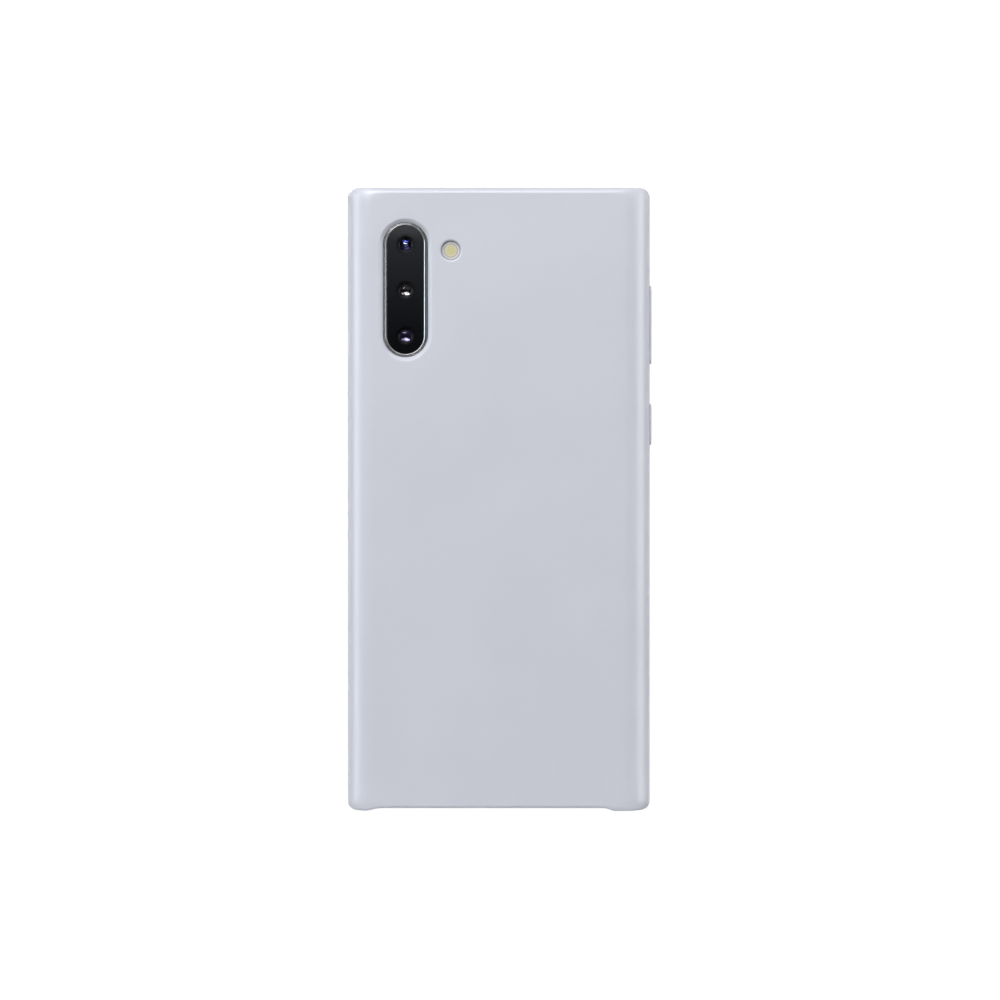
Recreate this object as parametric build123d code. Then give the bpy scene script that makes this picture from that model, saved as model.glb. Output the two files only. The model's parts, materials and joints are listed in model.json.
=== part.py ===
from build123d import *

import os

# Smartphone with a stylus, wearing a moulded silicone cover, as separate solids in millimetres.
#
# The phone is drawn about its own centre: X to the right seen from the back, Y from the back glass towards
# the screen, Z up. Every solid is moved by ROW_SHIFT when it is written, so that the finished model stands
# on Z = 0 with the cover's depth centred on Y = 0. One STEP file is written per sub-part.

# ---- driving dimensions -------------------------------------------------------------------------------
PHONE_W, PHONE_T, PHONE_H = 71.8, 7.9, 151.0
CORNER_R = 3.2  # corner of the outline, seen from the back
BACK_CURVE = 5.9  # width of the back glass's curved margin
FRONT_CURVE = 4.4  # width of the front glass's curved margin
SIDE_FLAT = 0.9  # half height of the flat stretch of the side
END_R = 1.2  # rounding of the top and bottom ends

GLASS_T = 0.6
GLUE_GAP = 0.1  # room for adhesive between glass and frame
GLASS_EDGE_Y = 1.5  # the glass stops this far either side of the middle
GLASS_H, GLASS_CORNER_R = 149.2, 4.6
WALL = 1.6  # frame wall

COVER_WALL, COVER_BACK, COVER_TOP = 1.65, 1.5, 1.7
COVER_LEG, COVER_SILL = 2.2, 1.5  # depth below the phone, at the corners and at the port opening
COVER_R, COVER_CURVE = 2.4, 6.5
LIP_LOW, LIP_HIGH = 2.3, 4.25  # height of the lip along the sides, and round the two ends
FIT = 0.05  # clearance between the cover and the phone
LINING_W, LINING_H, LINING_T = 60.0, 149.0, 0.25

ROW_SHIFT = (0, 0.6, PHONE_H / 2 + COVER_LEG)

# Levels through the thickness, from the back to the screen.
HALF_T, HALF_W, HALF_H = PHONE_T / 2, PHONE_W / 2, PHONE_H / 2
BACK_INNER = -HALF_T + GLASS_T + GLUE_GAP
PLATE_BACK, PLATE_FRONT = 1.35, 1.85
BOARD_Y = (0.5, 1.1)
FAR = 20.0  # past anything in the thickness

# Rear camera island and flash, seen from the back.
ISLAND_X, ISLAND_Z, ISLAND_W, ISLAND_H = -23.2, 51.8, 11.34, 33.7
ISLAND_OUT = 1.0  # how far it stands out of the back glass
LENS_PITCH = 11.35
FLASH_X, FLASH_Z, FLASH_R = -11.94, 61.65, 2.05
CAMERA_Z = {"ultrawide": ISLAND_Z + LENS_PITCH, "wide": ISLAND_Z, "tele": ISLAND_Z - LENS_PITCH}

# Side keys, on the +X side.
VOLUME_Z, VOLUME_LEN = 43.2, 18.6
POWER_Z, POWER_LEN = 18.5, 9.4
KEY_H, KEY_OUT, KEY_GAP = 1.7, 0.35, 0.15
PAD_MARGIN, PAD_H, PAD_OUT, PAD_GAP = 0.4, 2.6, 0.5, 0.12

# Stylus, in its silo from the bottom end.
PEN_X, PEN_Y, PEN_W, PEN_T, PEN_LEN = -27.0, -0.65, 5.8, 4.35, 105.1
PEN_CLEAR, SILO_WALL_X, SILO_WALL_Y = 0.15, 0.5, 0.2
CLICKER_H, CLICKER_GAP = 3.8, 0.3  # length of the end cap, and its gap to the barrel
PEN_TOP = -HALF_H + PEN_LEN

# Ports in the bottom end.
PORT_Y = -0.4
USB_W, USB_T, USB_DEPTH = 8.94, 3.2, 7.3
SPEAKER_X, SPEAKER_SLOTS, SPEAKER_PITCH = 12.2, 6, 1.85
SPEAKER_SPAN = (SPEAKER_X, SPEAKER_X + (SPEAKER_SLOTS - 1) * SPEAKER_PITCH)
MIC_X, TOP_MIC_X, MIC_R = -11.0, 3.0, 0.5

# Front camera, behind a hole in the display.
SELFIE_Z, SELFIE_HOLE_R = 69.5, 2.1

SIM_X, SIM_Y, SIM_W, SIM_LEN = 25.2, -0.3, 13.2, 21.0


# ---- shape helpers ------------------------------------------------------------------------------------
def block(x, y, z):
    """A box between (low, high) pairs."""
    size = Box(x[1] - x[0], y[1] - y[0], z[1] - z[0])
    return Pos(sum(x) / 2, sum(y) / 2, sum(z) / 2) * size


def around(centre, size):
    """The (low, high) pair of a length centred on a value."""
    return (centre - size / 2, centre + size / 2)


def inside(span, margin):
    """A (low, high) pair, drawn in by a margin at both ends."""
    return (span[0] + margin, span[1] - margin)


def prism_y(sketch, y, x=0.0, z=0.0):
    """A sketch of X and Z, extruded from y[0] to y[1]."""
    return Pos(x, y[1], z) * Rot(90, 0, 0) * extrude(sketch, y[1] - y[0])


def prism_x(sketch, x, y=0.0, z=0.0):
    """A sketch of Y and Z, extruded from x[0] to x[1]."""
    return Pos(x[0], y, z) * extrude(Plane.YZ * sketch, x[1] - x[0])


def prism_z(sketch, z, x=0.0, y=0.0):
    """A sketch of X and Y, extruded from z[0] to z[1]."""
    return Pos(x, y, z[0]) * extrude(sketch, z[1] - z[0])


def disc(radius, y, x, z):
    """A cylinder along Y."""
    return prism_y(Circle(radius), y, x, z)


def slot_z(width, height, y, x=ISLAND_X, z=ISLAND_Z):
    """A tall round-ended bar, extruded along Y."""
    return prism_y(SlotOverall(height, width, rotation=90), y, x, z)


def plate(width, height, radius, y, x=0.0, z=0.0):
    """A round-cornered plate facing along Y."""
    return prism_y(RectangleRounded(width, height, radius), y, x, z)


def side_section(half_w, back_y, front_y, back_curve, front_curve, flat):
    """Cross-section of a slab whose two long sides are quarter ellipses joined by a short flat."""
    with BuildSketch() as section:
        with BuildLine():
            Line((0, back_y), (half_w - back_curve, back_y))
            EllipticalCenterArc(
                (half_w - back_curve, flat[0]), back_curve, flat[0] - back_y, start_angle=270, arc_size=90
            )
            Line((half_w, flat[0]), (half_w, flat[1]))
            EllipticalCenterArc(
                (half_w - front_curve, flat[1]), front_curve, front_y - flat[1], start_angle=0, arc_size=90
            )
            Line((half_w - front_curve, front_y), (0, front_y))
            Line((0, front_y), (0, back_y))
        make_face()
        mirror(about=Plane.YZ)
    return section.sketch


def phone_volume(inset):
    """The phone's outer volume, drawn in by inset on every side."""
    section = side_section(
        HALF_W - inset,
        -HALF_T + inset,
        HALF_T - inset,
        BACK_CURVE - inset,
        FRONT_CURVE - inset,
        (-SIDE_FLAT, SIDE_FLAT),
    )
    long = prism_z(section, (-HALF_H, HALF_H))
    if inset < 0:
        long = prism_z(section, (-HALF_H + inset, HALF_H - inset))
    outline = plate(PHONE_W - 2 * inset, PHONE_H - 2 * inset, CORNER_R - inset, (-FAR, FAR))
    end_r = max(END_R - inset, 0.3)
    ends = prism_x(RectangleRounded(PHONE_T - 2 * inset, PHONE_H - 2 * inset, end_r), (-60, 60))
    return long & outline & ends


def cavity(y):
    """The space inside the frame's wall."""
    return plate(PHONE_W - 2 * WALL, PHONE_H - 2 * WALL, 2.2, y)


# ---- casing -------------------------------------------------------------------------------------------
def glass_shell(inset, outer, side, trim=0.0):
    """The curved sheet between two insets of the phone's volume, on the back (-1) or the front (1)."""
    reach = (GLASS_EDGE_Y + trim, FAR) if side > 0 else (-FAR, -GLASS_EDGE_Y - trim)
    sheet = phone_volume(outer) - phone_volume(inset)
    return sheet & plate(PHONE_W + 4, GLASS_H - 2 * trim, GLASS_CORNER_R - trim, reach)


def back_glass():
    glass = glass_shell(GLASS_T, 0, -1, trim=FIT)
    glass -= slot_z(ISLAND_W - 0.3, ISLAND_H - 0.3, (-FAR, 0))
    return glass - disc(FLASH_R + 0.05, (-FAR, 0), FLASH_X, FLASH_Z)


def front_glass():
    glass = glass_shell(GLASS_T, 0, 1, trim=FIT)
    return glass - plate(13.0, 1.2, 0.4, (0, FAR), z=GLASS_H / 2)


def back_adhesive():
    """Gasket that bonds the back glass to the frame."""
    sheet = glass_shell(GLASS_T + 0.09, GLASS_T + 0.01, -1, trim=0.2)
    return sheet - plate(65.6, 145.6, 2.0, (-FAR, 0))


def display_adhesive():
    """Gasket between the display module and the frame's plate."""
    ring = plate(65.0, 143.0, 2.0, (PLATE_FRONT + 0.01, PLATE_FRONT + 0.09), z=0.5)
    ring -= plate(62.0, 140.0, 1.0, (0, FAR), z=0.5)
    ring -= silo_space()
    return ring - disc(4.6, (0, FAR), 0, SELFIE_Z)


def display_panel():
    """Curved panel laminated to the front glass, with a hole for the front camera."""
    panel = phone_volume(GLASS_T + 0.02) - phone_volume(GLASS_T + 1.4)
    panel &= block((-33.9, 33.9), (PLATE_FRONT + 0.1, FAR), (-71.7, 72.9))
    return panel - disc(SELFIE_HOLE_R, (0, FAR), 0, SELFIE_Z)


def key_slot(z, length):
    """Opening in the side wall for one key."""
    height, width = length + 2 * KEY_GAP, KEY_H + 2 * KEY_GAP
    return block((HALF_W - WALL - 1, HALF_W + 1), around(0, width), around(z, height))


def pen_profile(grow=0.0):
    """Round-cornered section of the stylus."""
    return RectangleRounded(PEN_W + 2 * grow, PEN_T + 2 * grow, 1.9 + grow)


def speaker_slot_x():
    return [SPEAKER_X + SPEAKER_PITCH * i for i in range(SPEAKER_SLOTS)]


def bottom_openings():
    """Charging port, stylus mouth, speaker slots and microphone hole through the bottom wall."""
    through = (-HALF_H - 1, -HALF_H + WALL + 0.5)
    cut = prism_z(RectangleRounded(USB_W + 0.1, USB_T + 0.1, 1.55), through, 0, PORT_Y)
    cut += prism_z(pen_profile(PEN_CLEAR), through, PEN_X, PEN_Y)
    cut += prism_z(Circle(MIC_R), through, MIC_X, PORT_Y)
    for x in speaker_slot_x():
        cut += prism_z(SlotOverall(2.6, 1.0, rotation=90), through, x, PORT_Y)
    return cut


def top_openings():
    """Card tray opening, eject pinhole and second microphone hole through the top wall."""
    through = (HALF_H - WALL - 0.5, HALF_H + 1)
    cut = prism_z(SlotOverall(SIM_W + 1.2, 2.6), (HALF_H - 1.1, HALF_H + 1), SIM_X, SIM_Y)
    cut += block(around(SIM_X, SIM_W + 0.2), around(SIM_Y, 1.0), through)
    cut += prism_z(Circle(0.45), through, SIM_X - SIM_W / 2 - 1.9, SIM_Y)
    return cut + prism_z(Circle(MIC_R), through, TOP_MIC_X, PORT_Y)


def silo_space():
    """What the stylus silo needs, kept clear of the plate."""
    width, depth = PEN_W + 2 * (PEN_CLEAR + SILO_WALL_X) + 0.3, PEN_T + 2 * (PEN_CLEAR + SILO_WALL_Y) + 0.3
    return block(around(PEN_X, width), around(PEN_Y, depth), (-HALF_H + WALL - 0.5, PEN_TOP + 2.2))


UPPER_SCREWS = [(-5.0, 62.6), (6.4, 63.4), (13.0, 60.6), (-12.8, 34.2), (30.6, 34.2)]
LOWER_SCREWS = [(-20.4, -50.6), (2.2, -50.6), (30.8, -50.6), (30.8, -71.4), (7.4, -71.4), (-20.4, -71.4)]
BOSS_R, SHANK_R, HEAD_R = 1.5, 0.65, 1.25
BOSS_TOP = -1.62


def antenna_lines():
    """The slots that divide the frame into antennas, as solids crossing its wall."""
    lines = block((-HALF_W - 1, HALF_W + 1), (-FAR, FAR), around(66.5, 1.1))
    lines += block((-HALF_W - 1, HALF_W + 1), (-FAR, FAR), around(-66.5, 1.1))
    lines += block(around(-31.6, 1.1), (-FAR, FAR), (HALF_H - 3, HALF_H + 1))
    return lines + block(around(29.0, 1.1), (-FAR, FAR), (-HALF_H - 1, -HALF_H + 3))


def frame_wall():
    """The perimeter wall alone, under the edges of both glasses."""
    wall = phone_volume(0)
    wall -= glass_shell(GLASS_T + GLUE_GAP, -1, -1)
    wall -= glass_shell(GLASS_T + GLUE_GAP, -1, 1)
    wall -= cavity((-FAR, FAR))
    wall -= key_slot(VOLUME_Z, VOLUME_LEN)
    wall -= key_slot(POWER_Z, POWER_LEN)
    return wall - bottom_openings() - top_openings()


def mid_plate():
    """The plate that carries the display on one side and the electronics on the other."""
    whole = plate(PHONE_W - 2 * WALL + 0.4, PHONE_H - 2 * WALL + 0.4, 2.2, (PLATE_BACK, PLATE_FRONT))
    whole -= silo_space()
    whole -= plate(7.6, 7.6, 0.6, (0, FAR), 0, SELFIE_Z)
    whole -= plate(21.0, 7.0, 1.0, (0, FAR), z=-44.0)
    for x, z in UPPER_SCREWS + LOWER_SCREWS:
        whole += disc(BOSS_R, (BOSS_TOP, PLATE_BACK + 0.1), x, z)
        whole -= disc(SHANK_R + 0.05, (BOSS_TOP - 1, PLATE_BACK), x, z)
    return whole


def mid_frame():
    return (frame_wall() - antenna_lines()) + mid_plate()


def antenna_breaks():
    """Moulded plastic that fills the slots in the frame's wall."""
    return (frame_wall() & antenna_lines()) - mid_plate()


# ---- rear cameras and flash ---------------------------------------------------------------------------
ISLAND_TOP = -HALF_T - ISLAND_OUT
WINDOW_Y = (ISLAND_TOP + 0.15, ISLAND_TOP + 0.85)
WINDOW_W, WINDOW_H = 9.4, 31.8
MODULE_W, MODULE_H, MODULE_BACK, MODULE_BASE = 10.4, 10.6, -2.95, 0.25
BORE_R, BARREL_R = 3.6, 3.45
BARREL_Y = (-3.7, -0.6)


def camera_ring():
    """Metal trim that stands out of the back glass and holds the window."""
    flange = slot_z(ISLAND_W, ISLAND_H, (ISLAND_TOP, -HALF_T - 0.01))
    flange = fillet(flange.edges().group_by(Axis.Y)[0], 0.35)
    collar = slot_z(ISLAND_W - 0.44, ISLAND_H - 0.44, (-HALF_T - 0.05, BACK_INNER + 0.2))
    ring = flange + collar
    ring -= slot_z(WINDOW_W + 0.06, WINDOW_H + 0.06, (ISLAND_TOP - 1, WINDOW_Y[1] + 0.02))
    return ring - slot_z(WINDOW_W - 0.8, WINDOW_H - 0.8, (ISLAND_TOP - 1, 0))


def camera_window():
    window = slot_z(WINDOW_W, WINDOW_H, WINDOW_Y)
    return chamfer(window.edges().group_by(Axis.Y)[0], 0.1)


def camera_module(name):
    """Square actuator housing with a blind bore for the lens barrel."""
    z = CAMERA_Z[name]
    body = plate(MODULE_W, MODULE_H, 0.6, (MODULE_BACK, PLATE_BACK - 0.1), ISLAND_X, z)
    return body - disc(BORE_R, (-FAR, MODULE_BASE), ISLAND_X, z)


def lens_barrel(name, front_r, baffle_r):
    """Barrel with a flared mouth in front of its first element."""
    z = CAMERA_Z[name]
    barrel = disc(BARREL_R, BARREL_Y, ISLAND_X, z)
    barrel -= disc(front_r, (BARREL_Y[0] - 1, BARREL_Y[1] + 1), ISLAND_X, z)
    mouth = Pos(ISLAND_X, BARREL_Y[0] + 0.25, z) * Rot(90, 0, 0) * Cone(front_r, baffle_r, 0.52)
    return barrel - mouth


def lens_element(name, radius, y_front):
    """Front element with a domed face, and a plain stack of glass behind it."""
    z = CAMERA_Z[name]
    sag = 0.55
    ball_r = (radius**2 + sag**2) / (2 * sag)
    dome = Pos(ISLAND_X, y_front + ball_r, z) * Sphere(ball_r)
    return dome & disc(radius, (y_front - 1, BARREL_Y[1]), ISLAND_X, z)


def image_sensors():
    """One sensor chip at the bottom of each camera's bore."""
    y = (MODULE_BASE - 0.4, MODULE_BASE)
    return Compound([block(around(ISLAND_X, 5.6), y, around(z, 4.2)) for z in CAMERA_Z.values()])


def flash_window():
    """Diffuser disc set in the back glass."""
    disc_y = (-HALF_T, BACK_INNER - 0.1)
    window = disc(FLASH_R, disc_y, FLASH_X, FLASH_Z)
    return chamfer(window.edges().group_by(Axis.Y)[0], 0.12)


def flash_led():
    """Light source on its own small board."""
    board = block(around(FLASH_X, 5.0), (-2.7, -2.4), around(FLASH_Z, 5.0))
    return board + plate(2.4, 2.4, 0.3, (-3.1, -2.65), FLASH_X, FLASH_Z)


# ---- front camera -------------------------------------------------------------------------------------
SELFIE_BARREL_R, SELFIE_BORE_R = 1.8, 2.6
SELFIE_FRONT = HALF_T - GLASS_T - 0.25


def front_camera():
    body = plate(7.0, 7.0, 0.4, (-1.7, 1.9), 0, SELFIE_Z)
    return body - disc(SELFIE_BORE_R, (-0.8, FAR), 0, SELFIE_Z)


def front_barrel():
    barrel = disc(SELFIE_BARREL_R, (0.2, SELFIE_FRONT), 0, SELFIE_Z)
    barrel += disc(SELFIE_BORE_R - 0.1, (-0.4, 1.6), 0, SELFIE_Z)
    return barrel - disc(0.95, (-1, FAR), 0, SELFIE_Z)


def front_element():
    sag, radius = 0.3, 0.95
    ball_r = (radius**2 + sag**2) / (2 * sag)
    dome = Pos(0, SELFIE_FRONT - 0.15 - ball_r, SELFIE_Z) * Sphere(ball_r)
    return dome & disc(radius, (0.3, SELFIE_FRONT), 0, SELFIE_Z)


# ---- boards -------------------------------------------------------------------------------------------
def screw_reliefs(positions):
    """Room round the screw bosses."""
    return [disc(BOSS_R + 0.15, (-FAR, FAR), x, z) for x, z in positions]


def main_board():
    board = plate(47.0, 33.5, 0.8, BOARD_Y, 9.0, 48.75)
    board += plate(14.8, 10.0, 0.8, BOARD_Y, 25.1, 67.8)
    for relief in screw_reliefs(UPPER_SCREWS):
        board -= relief
    return board


CANS = [(0.8, 46.8, 20.0, 21.0), (23.0, 43.8, 15.6, 14.6)]  # centre x and z, width and height
CAN_BACK = -1.2


def shield_cans():
    """Drawn steel lids over the two groups of chips."""
    cans = []
    for x, z, width, height in CANS:
        can = plate(width, height, 0.5, (CAN_BACK, BOARD_Y[0]), x, z)
        cans.append(can - plate(width - 0.4, height - 0.4, 0.3, (CAN_BACK + 0.2, FAR), x, z))
    return Compound(cans)


CHIPS = [
    (-2.6, 49.6, 12.0, 12.0, 1.15),  # processor with stacked memory
    (6.8, 49.0, 5.2, 9.0, 0.9),  # storage
    (-4.4, 39.6, 7.0, 4.6, 0.7),
    (4.2, 39.6, 5.0, 4.6, 0.7),
    (20.0, 45.6, 7.0, 7.0, 0.8),  # radio
    (26.6, 46.6, 4.0, 5.0, 0.7),
    (20.6, 38.9, 8.0, 2.6, 0.6),
    (28.0, 40.4, 2.6, 5.0, 0.6),
]


def board_chips():
    """Packages on the board's back: X, Z, width, height and thickness of each."""
    front = BOARD_Y[0]
    return Compound([block(around(x, w), (front - t, front), around(z, h)) for x, z, w, h, t in CHIPS])


def sub_board():
    """Lower board, notched for the charging port."""
    board = plate(31.0, 24.6, 0.8, BOARD_Y, -6.6, -61.2)
    board -= block(around(0, USB_W + 0.3), (-FAR, FAR), (-HALF_H, -HALF_H + USB_DEPTH + 0.9))
    for relief in screw_reliefs(LOWER_SCREWS):
        board -= relief
    return board


def board_flex():
    """Ribbon that joins the two boards behind the battery, with a plug at each end."""
    ribbon = block(around(-7.5, 6.6), (1.13, 1.2), (-54.0, 38.0))
    for z in (-52.0, 36.0):
        ribbon += block(around(-7.5, 5.0), (1.11, 1.34), around(z, 2.6))
    return ribbon


# ---- power and heat -----------------------------------------------------------------------------------
BATTERY_X, BATTERY_Z, BATTERY_Y = (-22.2, 32.2), (-47.6, 30.6), (-2.95, 1.0)


def battery():
    """Pouch cell with a folded seal along its top edge."""
    width, height = BATTERY_X[1] - BATTERY_X[0], BATTERY_Z[1] - BATTERY_Z[0]
    middle = (sum(BATTERY_X) / 2, sum(BATTERY_Z) / 2)
    cell = plate(width, height - 2.4, 2.0, BATTERY_Y, middle[0], middle[1] - 1.2)
    cell = fillet(cell.edges().group_by(Axis.Y)[0] + cell.edges().group_by(Axis.Y)[-1], 0.8)
    return cell + plate(width - 6, 3.4, 0.3, (-0.9, 0.4), middle[0], BATTERY_Z[1] - 1.75)


COIL_X, COIL_Z, COIL_TURNS, COIL_IN_R = 5.0, -8.5, 10, 9.6
COIL_PITCH, COIL_WIRE = 1.15, 0.85


def charging_coil():
    """Flat spiral of half rings whose centres alternate by half a pitch."""
    strip = Sketch()
    for half in range(2 * COIL_TURNS):
        inner = COIL_IN_R + COIL_PITCH * half / 2
        side = 1 if half % 2 else -1
        centre = -COIL_PITCH / 4 * side
        ring = Circle(inner + COIL_WIRE) - Circle(inner)
        reach = 2 * (inner + COIL_WIRE) + 2
        half_plane = Pos(0, side * reach / 2) * Rectangle(2 * reach, reach)
        strip += Pos(centre, 0) * (ring & half_plane)
    return prism_y(strip, (-3.19, -3.09), COIL_X, COIL_Z)


def coil_ferrite():
    """Magnetic sheet between the coil and the cell."""
    return plate(46.0, 46.0, 4.0, (-3.08, -2.97), COIL_X, COIL_Z)


def heat_spreader():
    """Graphite-faced copper sheet from the processor across the back of the cell."""
    sheet = plate(33.0, 48.0, 2.0, (1.22, 1.33), 13.4, 39.0)
    for relief in screw_reliefs(UPPER_SCREWS):
        sheet -= relief
    return sheet


def upper_bracket():
    """Plastic cover over the upper board, carrying the aerials, screwed to the frame."""
    bracket = plate(49.0, 34.0, 1.0, (BACK_INNER + 0.15, CAN_BACK - 0.1), 9.6, 48.9)
    bracket += plate(14.8, 9.0, 1.0, (BACK_INNER + 0.15, CAN_BACK - 0.1), 25.8, 68.0)
    bracket -= plate(45.8, 30.8, 0.6, (BACK_INNER + 0.75, CAN_BACK), 9.6, 48.9)
    bracket -= plate(12.2, 7.0, 0.6, (BACK_INNER + 0.75, CAN_BACK), 25.8, 68.0)
    bracket -= plate(12.2, 8.0, 0.6, (BACK_INNER + 0.75, CAN_BACK), 25.8, 63.6)
    bracket -= block(around(FLASH_X, 5.4), (-FAR, 0), around(FLASH_Z, 5.4))
    for x, z in UPPER_SCREWS:
        bracket += disc(BOSS_R + 0.5, (BACK_INNER + 0.15, BOSS_TOP - 0.02), x, z)
        bracket -= disc(SHANK_R + 0.1, (-FAR, 0), x, z)
        bracket -= disc(HEAD_R + 0.1, (-FAR, BOSS_TOP - 0.42), x, z)
        bracket -= disc(BOSS_R + 0.1, (BOSS_TOP - 0.02, 0), x, z)
    return bracket & phone_volume(GLASS_T + GLUE_GAP + 0.05)


def screws():
    """Cross-head screws through the upper bracket and the loudspeaker box."""
    made = []
    for x, z in UPPER_SCREWS + LOWER_SCREWS:
        screw = disc(HEAD_R, (BOSS_TOP - 0.84, BOSS_TOP - 0.44), x, z)
        screw += disc(SHANK_R, (BOSS_TOP - 0.45, PLATE_BACK - 0.6), x, z)
        for size in ((1.3, 0.3), (0.3, 1.3)):
            screw -= block(around(x, size[0]), (BOSS_TOP - 1, BOSS_TOP - 0.64), around(z, size[1]))
        made.append(screw)
    return Compound(made)


# ---- sound and haptics --------------------------------------------------------------------------------
def earpiece():
    """Upper speaker beside the front camera, with a duct to the slit in the glass."""
    body = plate(12.0, 5.0, 0.8, (-1.7, PLATE_BACK - 0.1), 11.0, 70.2)
    return body + block((4.9, 8.4), (-0.6, 1.0), (72.0, 73.8))


CONE_X, CONE_Z, CONE_W, CONE_H = 19.4, -60.0, 11.0, 15.0
BOX_X, BOX_Z, BOX_Y = (9.4, 33.8), (-73.6, -48.6), (BACK_INNER + 0.15, 1.15)


def speaker_box():
    """Sealed box of the main loudspeaker, open at its driver and ducted to the bottom slots."""
    width, height = BOX_X[1] - BOX_X[0], BOX_Z[1] - BOX_Z[0]
    middle = (sum(BOX_X) / 2, sum(BOX_Z) / 2)
    outer = plate(width, height, 1.2, BOX_Y, *middle)
    box = outer
    box -= plate(width - 1.6, height - 1.6, 0.8, (BOX_Y[0] + 0.7, BOX_Y[1] - 0.5), *middle)
    box += plate(CONE_W + 1.6, CONE_H + 1.6, 1.5, (BOX_Y[0], BOX_Y[1] - 2.4), CONE_X, CONE_Z)
    box -= plate(CONE_W, CONE_H, 1.2, (BOX_Y[0] + 0.7, BOX_Y[1]), CONE_X, CONE_Z)
    box -= block(inside(SPEAKER_SPAN, -0.6), around(PORT_Y, 2.6), (-74, BOX_Z[0] + 2))
    for x, z in LOWER_SCREWS[2:5]:
        box += disc(BOSS_R + 0.6, (BOX_Y[0], BOSS_TOP - 0.02), x, z) & outer
        box -= disc(SHANK_R + 0.1, (-FAR, 0), x, z)
        box -= disc(HEAD_R + 0.1, (-FAR, BOSS_TOP - 0.42), x, z)
        box -= disc(BOSS_R + 0.15, (BOSS_TOP - 0.02, FAR), x, z)
    return box & phone_volume(GLASS_T + GLUE_GAP + 0.05)


def speaker_cone():
    """Driver diaphragm with its raised dome, free to move along Y."""
    cone = plate(CONE_W - 0.4, CONE_H - 0.4, 1.0, (-0.9, -0.6), CONE_X, CONE_Z)
    dome = plate(CONE_W - 4.0, CONE_H - 4.0, 1.0, (-0.7, -0.2), CONE_X, CONE_Z)
    coil = plate(CONE_W - 5.0, CONE_H - 5.0, 0.8, (-1.5, -0.8), CONE_X, CONE_Z)
    coil -= plate(CONE_W - 5.8, CONE_H - 5.8, 0.4, (-2, -0.9), CONE_X, CONE_Z)
    return cone + dome + coil


def port_meshes():
    """Dust screens behind the speaker slots and the bottom microphone hole."""
    z = (-73.88, -73.7)
    speaker = block(inside(SPEAKER_SPAN, -1.0), around(PORT_Y, 3.2), z)
    mic = block(around(MIC_X, 2.4), around(PORT_Y, 2.0), z)
    return Compound([speaker, mic])


def microphones():
    """Canned microphones behind the two pinholes."""
    bottom = block(around(MIC_X, 3.5), (BOARD_Y[0] - 1.1, BOARD_Y[0]), (-73.4, -70.6))
    top = block(around(TOP_MIC_X - 0.6, 2.4), (-1.4, -0.4), (73.1, 73.8))
    return Compound([bottom, top])


MOTOR_X, MOTOR_Z, MOTOR_Y = (-20.6, -4.6), (-61.6, -55.6), (-2.9, 0.3)
SHAKE = 0.6  # travel of the weight each way


def motor_housing():
    """Stamped can of the linear vibration motor."""
    spans = (MOTOR_X, MOTOR_Y, MOTOR_Z)
    return block(*spans) - block(*(inside(span, 0.3) for span in spans))


def motor_mass():
    """Tungsten weight that slides along X inside the can."""
    mass = block(inside(MOTOR_X, SHAKE + 1.0), inside(MOTOR_Y, 0.5), inside(MOTOR_Z, 0.6))
    return mass - block(around(sum(MOTOR_X) / 2, 5.0), (MOTOR_Y[1] - 1.5, MOTOR_Y[1]), inside(MOTOR_Z, 1.6))


# ---- keys ---------------------------------------------------------------------------------------------
KEY_INNER = HALF_W - WALL
SWITCH_X = 32.75


def side_key(z, length, domes):
    """Metal key with an inner flange that keeps it in, and one nub per switch."""
    bar = prism_x(RectangleRounded(KEY_H, length, 0.8), (KEY_INNER - 0.4, HALF_W + KEY_OUT), 0, z)
    bar = fillet(bar.edges().group_by(Axis.X)[-1], 0.2)
    key = bar + block((KEY_INNER - 0.65, KEY_INNER - 0.3), around(0, KEY_H + 0.9), around(z, length + 1.4))
    for offset_z in domes:
        key += prism_x(Circle(0.6), (KEY_INNER - 0.75, KEY_INNER - 0.6), 0, z + offset_z)
    return key


def volume_key():
    return side_key(VOLUME_Z, VOLUME_LEN, (-6.0, 6.0))


def power_key():
    return side_key(POWER_Z, POWER_LEN, (0.0,))


def key_switches():
    """Flexible strip with a dome switch behind each end of the volume key and behind the power key."""
    strip = block((SWITCH_X, SWITCH_X + 0.2), around(0, 2.6), (POWER_Z - 6, VOLUME_Z + 12))
    for z in (POWER_Z, VOLUME_Z - 6, VOLUME_Z + 6):
        strip += prism_x(Circle(1.3), (SWITCH_X + 0.1, SWITCH_X + 0.45), 0, z)
    return strip


# ---- charging port and card tray ----------------------------------------------------------------------
def usb_shell():
    """Drawn steel shell of the charging receptacle."""
    z = (-HALF_H + 0.35, -HALF_H + USB_DEPTH)
    shell = prism_z(RectangleRounded(USB_W, USB_T, 1.5), z, 0, PORT_Y)
    hollow = RectangleRounded(USB_W - 0.6, USB_T - 0.64, 1.2)
    return shell - prism_z(hollow, (z[0] - 1, z[1] - 0.4), 0, PORT_Y)


def usb_tongue():
    """Contact tongue with its base."""
    z0 = -HALF_H + USB_DEPTH - 0.42
    base = prism_z(RectangleRounded(USB_W - 0.7, USB_T - 0.74, 1.1), (z0 - 1.3, z0), 0, PORT_Y)
    return base + block(around(0, 6.7), around(PORT_Y, 0.7), (-HALF_H + 1.2, z0 - 1.0))


def sim_tray():
    """Card tray with its trim bar flush in the top wall."""
    bar = prism_z(SlotOverall(SIM_W + 1.1, 2.5), (HALF_H - 1.05, HALF_H), SIM_X, SIM_Y)
    tray = bar + block(around(SIM_X, SIM_W), around(SIM_Y, 0.8), (HALF_H - SIM_LEN, HALF_H - 0.9))
    tray -= plate(SIM_W - 1.6, 9.0, 0.6, around(SIM_Y - 0.2, 0.8), SIM_X, HALF_H - 7.2)
    return tray & phone_volume(0)


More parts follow.
